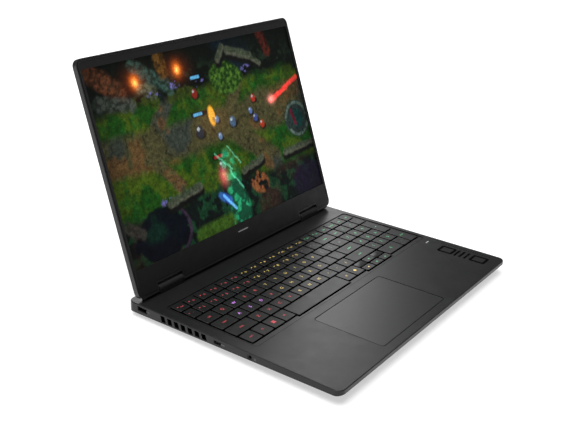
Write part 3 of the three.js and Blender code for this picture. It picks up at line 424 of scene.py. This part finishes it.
def cap(sketch, rect, top):
    """One key cap: upright sides painted darker than the top as shade in the gaps, rounded shoulder, shallow
    hollow.
    """
    x0, y0, x1, y1 = rect

    def at(grow, depth, r):
        return outline(x0 - grow, y0 - grow, x1 + grow, y1 + grow, r, top - depth, 4)

    # the two lower bands, the cap's sides, take the darker material as painted shade
    skirt_painted_shade, shoulder = [1, 1], [0, 0, 0, 0]
    sketch.loft([at(CAP_SHARE, CAP_DEPTH, 1.5), at(CAP_SHARE - 0.05, 0.7, 1.5), at(0.36, 0.2, 1.4),
                 at(0.16, 0.05, 1.25), at(-0.1, 0, 1.1), at(-1.4, DISH * 0.7, 0.9),
                 at(-2.2, DISH, 0.7)], skirt_painted_shade + shoulder)


def glow_of(x, legend):
    """Colour of a legend's light, by zone; the four game keys and the punctuation have their own."""
    if legend in ("W", "A", "S", "D"):
        return "violet"
    if legend in ("", "]", "[", "#", "'", ";", "-", "="):
        return "dim"
    return "red" if x < RED_TO_X else "amber" if x < AMBER_TO_X else "green"


def arrow(sketch, x, y, z, degrees, kind):
    """Small triangle that points along an angle."""
    c, s = math.cos(math.radians(degrees)), math.sin(math.radians(degrees))
    start = len(sketch.points)
    for a, b in ((1.5, 0), (-0.9, 1.3), (-0.9, -1.3)):
        sketch.points.append((x + a * c - b * s, y + a * s + b * c, z))
    sketch.add((start, start + 1, start + 2), kind)


def legend_shape(sketch, legend, x, y, z, kind):
    """An arrow, four small squares, a disc or short lettering."""
    if legend in ARROWS:
        arrow(sketch, x, y, z, ARROWS[legend], kind)
    elif legend == "SQUARE":
        for a in (x - 1.15, x + 1.15):
            for b in (y - 1.15, y + 1.15):
                sketch.plate(a - 1, b - 1, a + 1, b + 1, 0.2, z - MARK_DEPTH, z, 0.004, kind)
    elif legend == "DISC":
        sketch.disc(x, y, 1.9, z - MARK_DEPTH, z, 0.004, kind)
    elif legend:
        sketch.glyphs(legend, x, y, z, LETTER if len(legend) == 1 else WORD, kind)


def fill_beside(rect):
    """Flat pieces of deck beside the half-height key above the arrow row."""
    x0, y0, x1, y1 = rect
    wide, gap = x1 - x0 + 2 * CAP_SHARE, 1.2
    low, high = y0 - CAP_SHARE + 0.4, y1 + CAP_SHARE - 0.2
    filler = Sketch()
    for start in (x0 - CAP_SHARE - gap - wide, x1 + CAP_SHARE + gap):
        filler.plate(start, low, start + wide, high, 1.0, DECK - 1.0, DECK - 0.05)
    piece("arrow_fillers", filler, BASE, "base", ["deck"])


def mark_key(lights, rect, top, legend, second):
    """Light a cap's legend, moved right where the cap has a second small mark."""
    x, y = (rect[0] + rect[2]) / 2, (rect[1] + rect[3]) / 2
    z, kind = top - DISH + 0.015, GLOWS.index(glow_of(x, legend))
    if second and x < NUMBER_PAD_X:
        lights.plate(x - 4.6, y + 0.9, x - 2.8, y + 1.9, 0.4, z - MARK_DEPTH, z, 0.004, kind)
        x += 1.4
    legend_shape(lights, legend, x, y, z, kind)


def make_keys():
    """Each key node's caps in place of its plain solid, with the lit legends on top."""
    for node, legends in LEGENDS.items():
        tops, top = cap_tops(node)
        caps, lights = Sketch(), Sketch()
        for rect, legend in zip(tops, legends, strict=True):
            cap(caps, rect, top)
            mark_key(lights, rect, top, legend, node in UPPER_MARKS)
        piece(node + "_caps", caps, BASE, BODY_OF[node], ["cap", "skirt_painted_shade"], [node], 30)
        if node == "arrow_up_key":
            fill_beside(tops[0])
        if lights.points:
            piece(node + "_legends", lights, BASE, BODY_OF[node], GLOWS)


# ------------------------------------------------------------------ picture on the screen
def value_noise(u, v, size, seed, octaves=4):
    """Cloudy values from 0 to 1, with lumps of about the given size and finer ones within."""
    total, weight = np.zeros_like(u), 0.0
    for k in range(octaves):
        x, y = u * 2**k / size + seed * 3.7, v * 2**k / size - seed * 5.3
        xi, yi = np.floor(x), np.floor(y)
        fx, fy = x - xi, y - yi
        fx, fy = fx * fx * (3 - 2 * fx), fy * fy * (3 - 2 * fy)

        def corner(a, b):
            h = np.sin(a * 12.9898 + b * 78.233 + seed * 37.7) * 43758.5453
            return h - np.floor(h)

        low = corner(xi, yi) * (1 - fx) + corner(xi + 1, yi) * fx
        high = corner(xi, yi + 1) * (1 - fx) + corner(xi + 1, yi + 1) * fx
        total += (low * (1 - fy) + high * fy) / 2**k
        weight += 1 / 2**k
    return total / weight


def ease(x, a, b):
    """0 up to a, 1 from b on, and a smooth rise between."""
    t = np.clip((x - a) / (b - a), 0, 1)
    return t * t * (3 - 2 * t)


def blob(u, v, cu, cv, ru, rv):
    """Round hump of height 1 that fades with distance."""
    return np.exp(-(((u - cu) / ru) ** 2 + ((v - cv) / rv) ** 2))


def track(u, v, a, b, width):
    """How close a point is to the straight stretch from a to b."""
    d = np.array(b, float) - np.array(a, float)
    t = np.clip(((u - a[0]) * d[0] + (v - a[1]) * d[1]) / (d @ d), 0, 1)
    gap = np.hypot(u - a[0] - t * d[0], v - a[1] - t * d[1])
    return 1 - ease(gap, width * 0.6, width * 1.2)


class Canvas:
    """Painting in layers: u runs from the screen's centre line, v above the hinge axis."""

    def __init__(self, u, v):
        self.u, self.v = u, v
        self.rgb = np.zeros(u.shape + (3,))

    def paint(self, colour, cover):
        """Lay a colour over what is there."""
        c = np.array(srgb(*colour)[:3])
        self.rgb += (c - self.rgb) * np.clip(cover, 0, 1)[..., None]

    def shine(self, colour, cover):
        """Add light to what is there."""
        self.rgb += np.array(srgb(*colour)[:3]) * np.clip(cover, 0, 2)[..., None]


def paint_picture(u, v):
    """A forest clearing at dusk from above: grass, trodden lanes, ruins, fires and small figures."""
    c = Canvas(u, v)
    broad, mid, fine, tiny = (value_noise(u, v, s, k) for k, s in enumerate((60, 22, 8, 3.4)))
    wob = v + (broad - 0.5) * 16 + (mid - 0.5) * 10
    paint_ground(c, wob, broad, mid, fine)
    paint_back_woods(c, wob, broad, fine, tiny)
    paint_front_woods(c, wob, broad, mid, fine)
    paint_ruins(c, fine)
    c.rgb *= (0.25 + 1.2 * tiny)[..., None]
    paint_figures(c)
    paint_fires(c, mid, fine)
    edge = ease(np.abs(u), 125, 185) * 0.55 + ease(np.abs(v - 136), 84, 125) * 0.4
    return c.rgb * (1 - edge)[..., None]


def paint_ground(c, wob, broad, mid, fine):
    """Grass with lanes of trodden, cracked earth."""
    u = c.u
    c.paint((26, 68, 16), np.ones_like(u))
    c.paint((74, 92, 20), ease(mid, 0.42, 0.62) * 0.7)
    c.paint((16, 80, 26), ease(fine, 0.52, 0.7) * 0.6)
    lane = np.maximum.reduce([
        track(u, wob, (-175, 146), (175, 140), 23), track(u, wob, (-60, 198), (-118, 140), 9),
        track(u, wob, (-118, 140), (-78, 98), 9), track(u, wob, (52, 190), (22, 140), 12),
        track(u, wob, (30, 130), (90, 84), 15), track(u, wob, (70, 150), (175, 160), 20)])
    c.paint((76, 70, 46), lane * 0.9)
    c.paint((50, 60, 56), lane * ease(broad, 0.48, 0.62) * 0.85)
    c.paint((104, 70, 40), lane * ease(mid, 0.56, 0.7) * 0.6)
    cracks = np.maximum(1 - ease(np.abs(mid - 0.5), 0.002, 0.016),
                        1 - ease(np.abs(broad - 0.52), 0.001, 0.008))
    c.paint((18, 22, 18), lane * cracks * 0.75)


def paint_back_woods(c, wob, broad, fine, tiny):
    """Dark woods along the top, with trunks, flowers and a bush."""
    u, v = c.u, c.v
    back = ease(wob, 186, 200)
    c.paint((8, 15, 10), back)
    c.paint((26, 40, 28), back * ease(fine, 0.52, 0.64) * (1 - ease(v, 210, 238)) * 0.9)
    c.paint((16, 34, 46), back * ease(broad, 0.5, 0.7) * 0.6)
    c.paint((60, 74, 22), track(u, wob, (-110, 196), (-20, 192), 7) * ease(fine, 0.4, 0.6) * 0.7)
    trunks = (((-165, 238), (-132, 212), 12, (92, 54, 34)), ((-104, 236), (-58, 204), 9, (50, 78, 70)),
              ((-64, 238), (-62, 222), 9, (96, 66, 26)), ((116, 244), (124, 220), 8, (78, 28, 20)),
              ((-160, 204), (-120, 196), 9, (62, 68, 62)), ((-100, 212), (-84, 204), 8, (84, 92, 72)))
    for a, b, width, tint in trunks:
        c.paint(tint, track(u, v + (fine - 0.5) * 8, a, b, width) * (0.45 + 0.5 * ease(tiny, 0.4, 0.6)))
    for a, b in ((-84, 200), (-50, 206), (-8, 200), (76, 204), (-104, 84)):
        c.paint((98, 92, 158), ease(blob(u, v, a, b, 12, 6), 0.4, 0.7) * ease(tiny, 0.54, 0.6))
    bush = ease(blob(u, wob, 38, 199, 29, 22), 0.3, 0.5)
    c.paint((30, 62, 18), bush)
    c.paint((74, 112, 40), bush * ease(tiny, 0.4, 0.7) * 0.8)


def paint_front_woods(c, wob, broad, mid, fine):
    """Dark woods along the bottom, with a hollow, a shaded thicket and a lit bush."""
    u, v = c.u, c.v
    low = 1 - ease(wob, 70, 82)
    c.paint((10, 20, 18), low)
    c.paint((22, 62, 38), low * ease(fine, 0.5, 0.6) * 0.8)
    c.paint((62, 42, 34), low * ease(broad, 0.55, 0.68) * 0.6)
    c.paint((60, 92, 26), low * track(u, v, (-64, 32), (-14, 34), 11) * 0.9)
    round_wood = np.hypot((u + 122) / 44, (v - 52) / 32)
    c.paint((54, 42, 60), (1 - ease(np.abs(round_wood - 0.98), 0.03, 0.08)) * ease(u, -118, -96))
    c.paint((5, 9, 20), (1 - ease(round_wood + (fine - 0.5) * 0.3, 0.84, 0.96)) * 0.95)
    c.paint((12, 44, 32), ease(blob(u, v, -130, 62, 28, 20), 0.35, 0.8) * ease(mid, 0.4, 0.7) * 0.7)
    c.paint((70, 66, 60), track(u, v + (fine - 0.5) * 8, (-168, 74), (-150, 62), 7) * 0.7)
    c.paint((26, 20, 42), ease(blob(u, v, 150, 44, 40, 26), 0.35, 0.6) * 0.85)
    c.paint((140, 82, 48), ease(blob(u, wob, 52, 64, 20, 16), 0.4, 0.6) * ease(fine, 0.44, 0.56) * 0.85)


def paint_ruins(c, fine):
    """Fallen stones in the clearing, a broken arch at the back and a round basin at the right."""
    u, v = c.u, c.v
    slabs = (((-100, 80), (-50, 87), 7), ((28, 84), (66, 92), 6), ((112, 87), (172, 90), 6),
             ((30, 222), (42, 236), 7), ((50, 230), (88, 218), 8), ((92, 214), (104, 206), 5))
    for a, b, width in slabs:
        c.paint((14, 15, 14), track(u, v + 4.5, a, b, width))
        c.paint((84, 88, 74), track(u, v + (fine - 0.5) * 5, a, b, width * 0.7) * 0.9)
        c.paint((46, 62, 44), track(u, v - 2 + (fine - 0.5) * 5, a, b, width * 0.4) * 0.6)
    r = np.hypot(u - 152, (v - 124) * 1.05)
    c.paint((40, 54, 52), 1 - ease(r, 24, 26))
    c.paint((92, 112, 104), (ease(r, 19, 20.5) - ease(r, 23, 24.5)) * ease(fine, 0.35, 0.5))
    c.paint((16, 62, 60), 1 - ease(r, 11, 14))
    c.paint((96, 24, 44), track(u, v, (143, 136), (147, 118), 3))


FIGURES = (((-28, 146), 9, (38, 44, 58)), ((4, 154), 5, (92, 124, 172)), ((3, 134), 5, (96, 132, 176)),
           ((30, 146), 8, (70, 96, 126)), ((66, 152), 5, (84, 112, 170)), ((72, 142), 6, (60, 74, 140)),
           ((-22, 190), 7, (126, 34, 26)), ((82, 132), 6, (176, 52, 30)),
           ((76, 166), 6, (170, 48, 34)), ((-6, 100), 8, (40, 48, 56)))
LEVEL_BARS = (((-14, 208), (90, 168, 216)), ((-24, 166), (90, 168, 216)), ((-8, 112), (150, 34, 34)))


def paint_figures(c):
    """Small figures, each with a shadow and a lit side, and three plain level bars."""
    u, v = c.u, c.v
    for (a, b), size, tint in FIGURES:
        shadow = blob(u, v, a + 1, b - 3, size * 1.2, size * 0.8)
        lit_side = blob(u, v, a - size * 0.2, b + size * 0.4, size * 0.3, size * 0.3)
        c.paint((10, 12, 12), ease(shadow, 0.4, 0.6) * 0.8)
        c.paint(tint, ease(blob(u, v, a, b, size * 0.8, size), 0.42, 0.6) * 0.9)
        c.paint((190, 204, 210), ease(lit_side, 0.4, 0.6) * 0.7)
    for (a, b), tint in LEVEL_BARS:
        c.paint((6, 8, 10), track(u, v, (a - 9, b), (a + 13, b), 3))
        c.paint(tint, track(u, v, (a - 7, b), (a + 5, b), 1.9))


def paint_fires(c, mid, fine):
    """What shines: two torches, a flame in the middle, a red comet and a green spirit."""
    u, v = c.u, c.v
    for a, b in ((-106, 219), (-40, 222)):
        c.shine((255, 120, 30), blob(u, v, a, b, 6, 7) * 1.1)
        c.shine((255, 210, 110), blob(u, v, a, b - 1, 3, 3.5))
        c.shine((150, 60, 20), blob(u, v, a, b, 16, 13) * 0.3)
    flame = ease(blob(u, v, -3, 160, 6, 13), 0.3, 0.6) - ease(blob(u, v, -1, 155, 3, 4), 0.4, 0.7) * 0.6
    c.shine((255, 176, 50), flame)
    c.shine((120, 80, 40), blob(u, v, 0, 155, 24, 20) * 0.3)
    c.shine((255, 30, 50), track(u, v + (mid - 0.5) * 8, (108, 157), (170, 178), 3.4))
    c.shine((255, 150, 140), blob(u, v, 110, 158, 6, 4.5) * 1.3)
    beam = track(u + (mid - 0.5) * 22, v + (fine - 0.5) * 10, (4, 106), (10, 34), 13)
    c.shine((34, 150, 104), beam * (0.2 + 0.8 * ease(fine, 0.44, 0.6)))
    sparks = (((-14, 116), (8, 92), 1.1), ((10, 120), (26, 96), 0.9), ((4, 92), (20, 66), 1.2))
    for a, b, width in sparks:
        c.shine((110, 220, 180), track(u + (fine - 0.5) * 6, v, a, b, width) * 0.55)
    c.shine((110, 190, 255), track(u, v, (-16, 66), (0, 46), 1.8) * 0.9)
    c.shine((60, 110, 220), track(u + (fine - 0.5) * 8, v, (-19, 67), (-8, 58), 5) * 0.5)
    c.shine((255, 90, 110), blob(u, v, -8, 88, 6, 9) * 0.8)


def picture_material():
    """Shining colours of the painted layer, with fine grain, behind dark glass."""
    n = Nodes("picture")
    layout = n.add("ShaderNodeVertexColor", layer_name="picture").outputs["Color"]
    grain = n.span(n.noise(520.0, 4.0, 0.6), 0.0, 1.0, 0.35, 0.65)
    detail = n.mix(grain, (0.7, 0.72, 0.7, 1), (1.3, 1.28, 1.25, 1))
    n.link(n.mix(1.0, layout, detail, "MULTIPLY"), n.bsdf.inputs["Emission Color"])
    n.bsdf.inputs["Emission Strength"].default_value = 1.0
    n.bsdf.inputs["Base Color"].default_value = (0.003, 0.003, 0.003, 1)
    n.bsdf.inputs["Roughness"].default_value = 0.3
    n.bsdf.inputs["Specular IOR Level"].default_value = 0.05
    return n.mat


PICTURE_LOW, PICTURE_HIGH = 27.9, 243.9  # just past the bezel's opening
PANEL_RIM = 2.1                # of the display panel's width, at each side of the picture
PICTURE_DEPTH = 1.45           # behind the bezel's face


def make_picture():
    """The lit picture: a fine grid of points whose colours are painted."""
    lo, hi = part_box("display_panel")
    half_w = (hi.x - lo.x) / 2 / MM - PANEL_RIM
    cols, rows = 280, 176
    u, v = np.meshgrid(np.linspace(-half_w, half_w, cols), np.linspace(PICTURE_LOW, PICTURE_HIGH, rows))
    sketch = Sketch()
    sketch.points = [(a, b, BEZEL_W - PICTURE_DEPTH) for a, b in zip(u.ravel(), v.ravel())]
    for j in range(rows - 1):
        for i in range(cols - 1):
            k = j * cols + i
            sketch.add((k, k + 1, k + 1 + cols, k + cols))
    M["picture"] = picture_material()
    obj = piece("screen_picture", sketch, LID, "lid", ["picture"])
    layer = obj.data.color_attributes.new("picture", "FLOAT_COLOR", "POINT")
    rgb = paint_picture(u.ravel(), v.ravel())
    layer.data.foreach_set("color", np.c_[rgb, np.ones(len(rgb))].ravel().astype(np.float32))


# ------------------------------------------------------------------ small parts of the lid
LENS_V = 248.4                 # webcam above the hinge axis
RIB_V = 255.22                 # top face of the shutter's finger piece
RIB_X, RIB_PITCH = 4.3, 1.05


def make_lid_details():
    """Webcam lens with its two small windows, the plain mark and the shutter's finger ribs."""
    camera = Sketch()
    camera.washer(0, LENS_V, 1.75, 1.2, BEZEL_W - 0.9, BEZEL_W - 0.25)
    camera.disc(0, LENS_V, 1.3, BEZEL_W - 1.1, BEZEL_W - 0.5, 0.3, 1)
    for x in (-7.5, 7.5):
        camera.disc(x, LENS_V, 0.5, BEZEL_W - 0.1, BEZEL_W + 0.04, 0.03, 1)
    piece("webcam_lens", camera, LID, "lid", ["plastic", "glass"])
    badge = Sketch()
    badge.plate(-9, 18.2, 9, 19.6, 0.65, BEZEL_W - 0.1, BEZEL_W + 0.06, 0.03)
    piece("bezel_mark", badge, LID, "lid", ["print"])
    ribs = Sketch()
    for i in range(5):
        x = RIB_X + i * RIB_PITCH
        ribs.plate(x, RIB_V, x + 0.45, RIB_V + 0.07, 0.02, 2.0, 2.6, 0.01)
    piece("shutter_ribs", ribs, LID, "camera_shutter", ["plastic"])


# ------------------------------------------------------------------ small parts of the base
PAD_OPENING = (-87.1, 10.7, 41.2, 93.8)
KEY_WELL = (-165.6, 105.5, 171.1, 226.0)
INLAY_X = (147.2, 164.8)
FRAMES_Y, BARS_Y, BAR_WIDE = ((14, 34), (56, 76)), (38.2, 44.6, 51.0), 2.8
TICK_X, TICK_Y, TICK_PITCH, TICK_LONG = (169.2, 170.4), 16, 3, 1.6
LAMP_AT, LAMP_SIDE, LAMP_PITCH = (158, 95), 1.4, 2.4
PROUD = 0.03                   # how far an inlay stands above the deck


def make_panel_lines():
    """Shadow lines round the touchpad and the keyboard."""
    lines = Sketch()
    lines.band(PAD_OPENING, 3.8, 0.42, 0, DECK - 0.3, DECK + 0.012)
    lines.band(KEY_WELL, 4.0, 0.35, 0, DECK - 0.3, DECK + 0.012)
    # the dark bands are painted shade in the gaps round the openings
    piece("panel_lines", lines, BASE, "base", ["slot"])


def make_inlay():
    """Two rounded frames with three bars between them, and a row of fine ticks at the deck's edge."""
    left, right = INLAY_X
    inlay = Sketch()
    for y0, y1 in FRAMES_Y:
        inlay.band((left, y0, right, y1), 2.4, 0, 3.2, DECK - 0.3, DECK + PROUD)
    for y in BARS_Y:
        inlay.plate(left, y, right, y + BAR_WIDE, 0.8, DECK - 0.3, DECK + PROUD, 0.03)
    x0, x1 = TICK_X
    for y in (TICK_Y + i * TICK_PITCH for i in range(22)):
        inlay.plate(x0, y, x1, y + TICK_LONG, 0.2, DECK - 0.2, DECK + PROUD, 0.02)
    piece("deck_inlay", inlay, BASE, "base", ["slot"])


def make_status_lamp():
    """Three small square lamps right of the keyboard."""
    lamp = Sketch()
    x, y = LAMP_AT
    for i in range(3):
        a = x + i * LAMP_PITCH
        lamp.plate(a, y, a + LAMP_SIDE, y + LAMP_SIDE, 0.5, DECK - 0.2, DECK + 0.05, 0.03)
    piece("status_lamp", lamp, BASE, "base", ["lamp"])


USB_A_Y, USB_C_Y, HDMI_Y, AUDIO_Y = 247.8, 144.3, 138, 103.5
USB_A_WIDE = 12.5
INLET_X, INLET_Z = 40, 10
PORT_Z = 11.3                  # middle of the side ports above the desk
LEFT_MARKS_Y, RIGHT_MARKS_Y, HEADSET_MARK_Y = (239.6, 137.4), (239.6, 126.6), 97.6


def wall_u(place, y):
    """Distance along a side wall's drawing plane of a place y from the front edge."""
    return -y if place is LEFT else y


def make_tongue(place, node, body, r, bevel, contacts):
    """Plastic tongue in a socket, given as its face and its depths, with gilt contacts on it."""
    tongue = Sketch()
    (x0, z0, x1, z1), (deep, front) = body
    tongue.plate(x0, z0, x1, z1, r, deep, front, bevel)
    for contact in contacts:
        tongue.plate(*contact, 0.02, 1)
    piece(node + "_tongue", tongue, place, "base", ["plastic", "gold"][:1 + bool(contacts)])


def make_usb_tongues():
    """Tongues of the two wide sockets and of the small one, each with its contacts."""
    half = USB_A_WIDE / 2 - 0.6
    for place, node in ((LEFT, "usb_a_port_left"), (RIGHT, "usb_a_port_right")):
        u = wall_u(place, USB_A_Y)
        contacts = [(x - 0.5, 11.78, x + 0.5, 11.95, 0.05, -9.5, -1.9)
                    for x in (u - 4.2 + i * 2.8 for i in range(4))]
        body = ((u - half, 11.9, u + half, 13.3), (-11.8, -1.6))
        make_tongue(place, node, body, 0.3, 0.2, contacts)
    u = wall_u(LEFT, USB_C_Y)
    contacts = [(x - 0.25, 11.6, x + 0.25, 11.7, 0.05, -5, -1.5)
                for x in (u - 2.5 + i for i in range(6))]
    body = ((u - 3.2, 10.95, u + 3.2, 11.65), (-6.8, -1.2))
    make_tongue(LEFT, "usb_c_port", body, 0.2, 0.12, contacts)


def make_ports():
    """What is seen in the sockets: tongues, the audio jack's ring and the power inlet's pin."""
    make_usb_tongues()
    u = wall_u(RIGHT, HDMI_Y)
    make_tongue(RIGHT, "hdmi_port", ((u - 5.6, 11.0, u + 5.6, 12.4), (-6.4, -1.6)), 0.3, 0.15, [])
    ring = Sketch()
    ring.washer(wall_u(LEFT, AUDIO_Y), PORT_Z, 2.3, 1.85, -0.6, -0.3)
    piece("audio_jack_ring", ring, LEFT, "base", ["screw"])
    pin = Sketch()
    pin.disc(INLET_X, INLET_Z, 0.8, -10.2, -2.5, 0.25)
    pin.washer(INLET_X, INLET_Z, 3.75, 3.3, -0.7, -0.35, 1)
    piece("power_inlet_pin", pin, REAR, "base", ["gold", "screw"])


def make_port_marks():
    """Small printed marks beside the ports: a bar with a dot at each end, and a ring."""
    left, right = Sketch(), Sketch()
    for sketch, place, ys in ((left, LEFT, LEFT_MARKS_Y), (right, RIGHT, RIGHT_MARKS_Y)):
        for u in (wall_u(place, y) for y in ys):
            sketch.plate(u - 1.6, PORT_Z - 0.15, u + 1.6, PORT_Z + 0.15, 0.1, -0.1, 0.02, 0.01)
            sketch.disc(u - 1.6, PORT_Z, 0.45, -0.1, 0.02, 0.01)
            sketch.disc(u + 1.6, PORT_Z, 0.3, -0.1, 0.02, 0.01)
    left.washer(wall_u(LEFT, HEADSET_MARK_Y), PORT_Z, 1.1, 0.8, -0.1, 0.02)
    piece("left_marks", left, LEFT, "base", ["print"])
    piece("right_marks", right, RIGHT, "base", ["print"])


SCREWS = [(-150, 22), (0, 18), (150, 22), (-158, 128), (158, 128), (-60, 128), (60, 128), (-150, 250),
          (-50, 252), (50, 252), (150, 250)]


def make_screws():
    """Heads of the bottom cover's screws, each with a dark disc in its recess as painted shade."""
    sketch = Sketch()
    seat = -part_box("bottom_cover")[0].z / MM
    for x, y in SCREWS:
        sketch.washer(x, y, 2.5, 1.35, seat - 0.05, seat + 0.3)
        # dark disc standing in the head's recess: painted shade
        sketch.disc(x, y, 1.4, seat - 0.05, seat + 0.12, 0.05, 1)
    piece("bottom_screws", sketch, UNDER, "base", ["screw", "slot"])


# ------------------------------------------------------------------ nodes that keep their CAD shape
ROUNDED = {                    # material, and width in mm of its broken edges
    "top_cover": ("deck", 0.2), "bottom_cover": ("bottom", 0.3), "lid_cover": ("lid", 0.35),
    "bezel": ("bezel", 0.15), "hinge_cover_left": ("barrel", 0.3), "hinge_cover_right": ("barrel", 0.3),
    "touchpad": ("pad", 0.2), "front_foot": ("rubber", 0.4), "rear_foot": ("rubber", 0.4),
    "rear_grille": ("plastic", 0.15), "usb_a_port_left": ("steel", 0.08),
    "usb_a_port_right": ("steel", 0.08), "usb_c_port": ("steel", 0.08), "hdmi_port": ("steel", 0.08),
    "audio_jack": ("plastic", 0.15), "power_inlet": ("plastic", 0.15), "lid_seal": ("rubber", 0.12),
    "camera_shutter": ("plastic", 0.08), "fan_rotor_left": ("plastic", 0.1),
    "fan_rotor_right": ("plastic", 0.1),
}
PLAIN = {                      # material, and the nodes that wear it
    "well": "keyboard_plate keyboard_membrane",
    "board": "mainboard ssd memory_module_1 memory_module_2 wifi_card webcam_module",
    "spring": "touchpad_bracket hinge_bracket_left hinge_bracket_right hinge_arm_left hinge_arm_right",
    "plastic": "fan_housing_left fan_housing_right speaker_left speaker_right",
    "fins": "heatsink_left heatsink_right backlight_plate",
    "copper": "heat_pipes",
    "wrap": "battery",
    "glass": "display_panel",
}


# ------------------------------------------------------------------ studio
def hang_light(name, data, at):
    """Put a light in the scene, turned towards the laptop."""
    obj = bpy.data.objects.new(name, data)
    bpy.context.scene.collection.objects.link(obj)
    obj.location = at
    obj.rotation_euler = (-Vector(at)).to_track_quat("-Z", "Y").to_euler()


def softbox(name, azimuth, height, distance, size, radiance):
    """Lamp at an azimuth from +X and a height angle, in degrees; radiance is per unit of its face."""
    data = bpy.data.lights.new(name, "AREA")
    data.shape, data.size, data.size_y = "RECTANGLE", size[0], size[1]
    data.energy = radiance * math.pi * size[0] * size[1]
    a, h = math.radians(azimuth), math.radians(height)
    out = distance * math.cos(h)
    hang_light(name, data, (out * math.cos(a), out * math.sin(a), distance * math.sin(h)))


def soft_sun(name, towards, strength, spread):
    """Even light from a wide patch of sky, given by its direction and its spread in degrees."""
    data = bpy.data.lights.new(name, "SUN")
    data.energy, data.angle = strength, math.radians(spread)
    hang_light(name, data, towards)


FLOOR_DROP = 0.0002            # below the feet, in metres
FLOOR_GLOW = 0.55              # the paper is lit a little from below, which keeps shadows faint


def make_floor():
    """Wide pale paper under the laptop."""
    bpy.ops.mesh.primitive_circle_add(vertices=96, radius=40, fill_type="NGON",
                                      location=(0, 0, -FLOOR_DROP))
    floor = bpy.context.object
    floor.name = "floor"
    n = Nodes("floor_paper")
    shade = n.mix(n.span(n.noise(1.2), 0, 1), (0.5, 0.5, 0.5, 1), (0.53, 0.53, 0.53, 1))
    n.link(shade, n.bsdf.inputs["Base Color"])
    n.bsdf.inputs["Emission Color"].default_value = (1, 1, 1, 1)
    n.bsdf.inputs["Emission Strength"].default_value = FLOOR_GLOW
    n.bsdf.inputs["Roughness"].default_value = 0.9
    n.bsdf.inputs["Specular IOR Level"].default_value = 0.1
    floor.data.materials.append(n.mat)


def make_world():
    """Dim, slightly cool surroundings."""
    world = bpy.data.worlds.new("studio")
    bpy.context.scene.world = world
    world.use_nodes = True
    background = world.node_tree.nodes["Background"]
    background.inputs["Color"].default_value = (0.9, 0.92, 0.95, 1)
    background.inputs["Strength"].default_value = 0.08


def make_studio():
    """Pale floor, soft light from above, and two boxes whose reflections shape the dark surfaces."""
    make_floor()
    make_world()
    soft_sun("overhead", (-0.14, 0.1, 1), 4.2, 64)
    softbox("rear_right", 43, 31, 1.3, (0.66, 0.68), 4.1)
    softbox("front_right", -42, 26, 1.6, (1.2, 0.6), 0.4)


CAMERA_AT = (-0.744857, -0.517092, 0.460655)
CAMERA_RIGHT = Vector((0.596026, -0.802407, 0.029939))
CAMERA_AHEAD = Vector((0.762727, 0.554110, -0.333482))
SENSOR = 36.0                  # mm
FOCAL = 1.5143847              # lens over sensor width
SHIFT_UP = -0.08665511         # of the sensor's width


def make_camera():
    """Camera over the front left corner, looking down at the open laptop."""
    data = bpy.data.cameras.new("camera")
    camera = bpy.data.objects.new("camera", data)
    bpy.context.scene.collection.objects.link(camera)
    bpy.context.scene.camera = camera
    up = CAMERA_RIGHT.cross(CAMERA_AHEAD)
    camera.matrix_world = plane(CAMERA_AT, CAMERA_RIGHT, up, -CAMERA_AHEAD)
    data.sensor_width, data.lens = SENSOR, SENSOR * FOCAL
    data.shift_y = SHIFT_UP
    data.clip_start, data.clip_end = 0.02, 200


make_camera()
for node, (key, width) in ROUNDED.items():
    broken_edges(node, key, width)
for key, nodes in PLAIN.items():
    for node in nodes.split():
        finish_node(node, key)
make_keys()
make_picture()
make_lid_details()
make_panel_lines()
make_inlay()
make_status_lamp()
make_ports()
make_port_marks()
make_screws()
make_studio()
bpy.context.scene.view_settings.view_transform = "Standard"
bpy.context.view_layer.update()
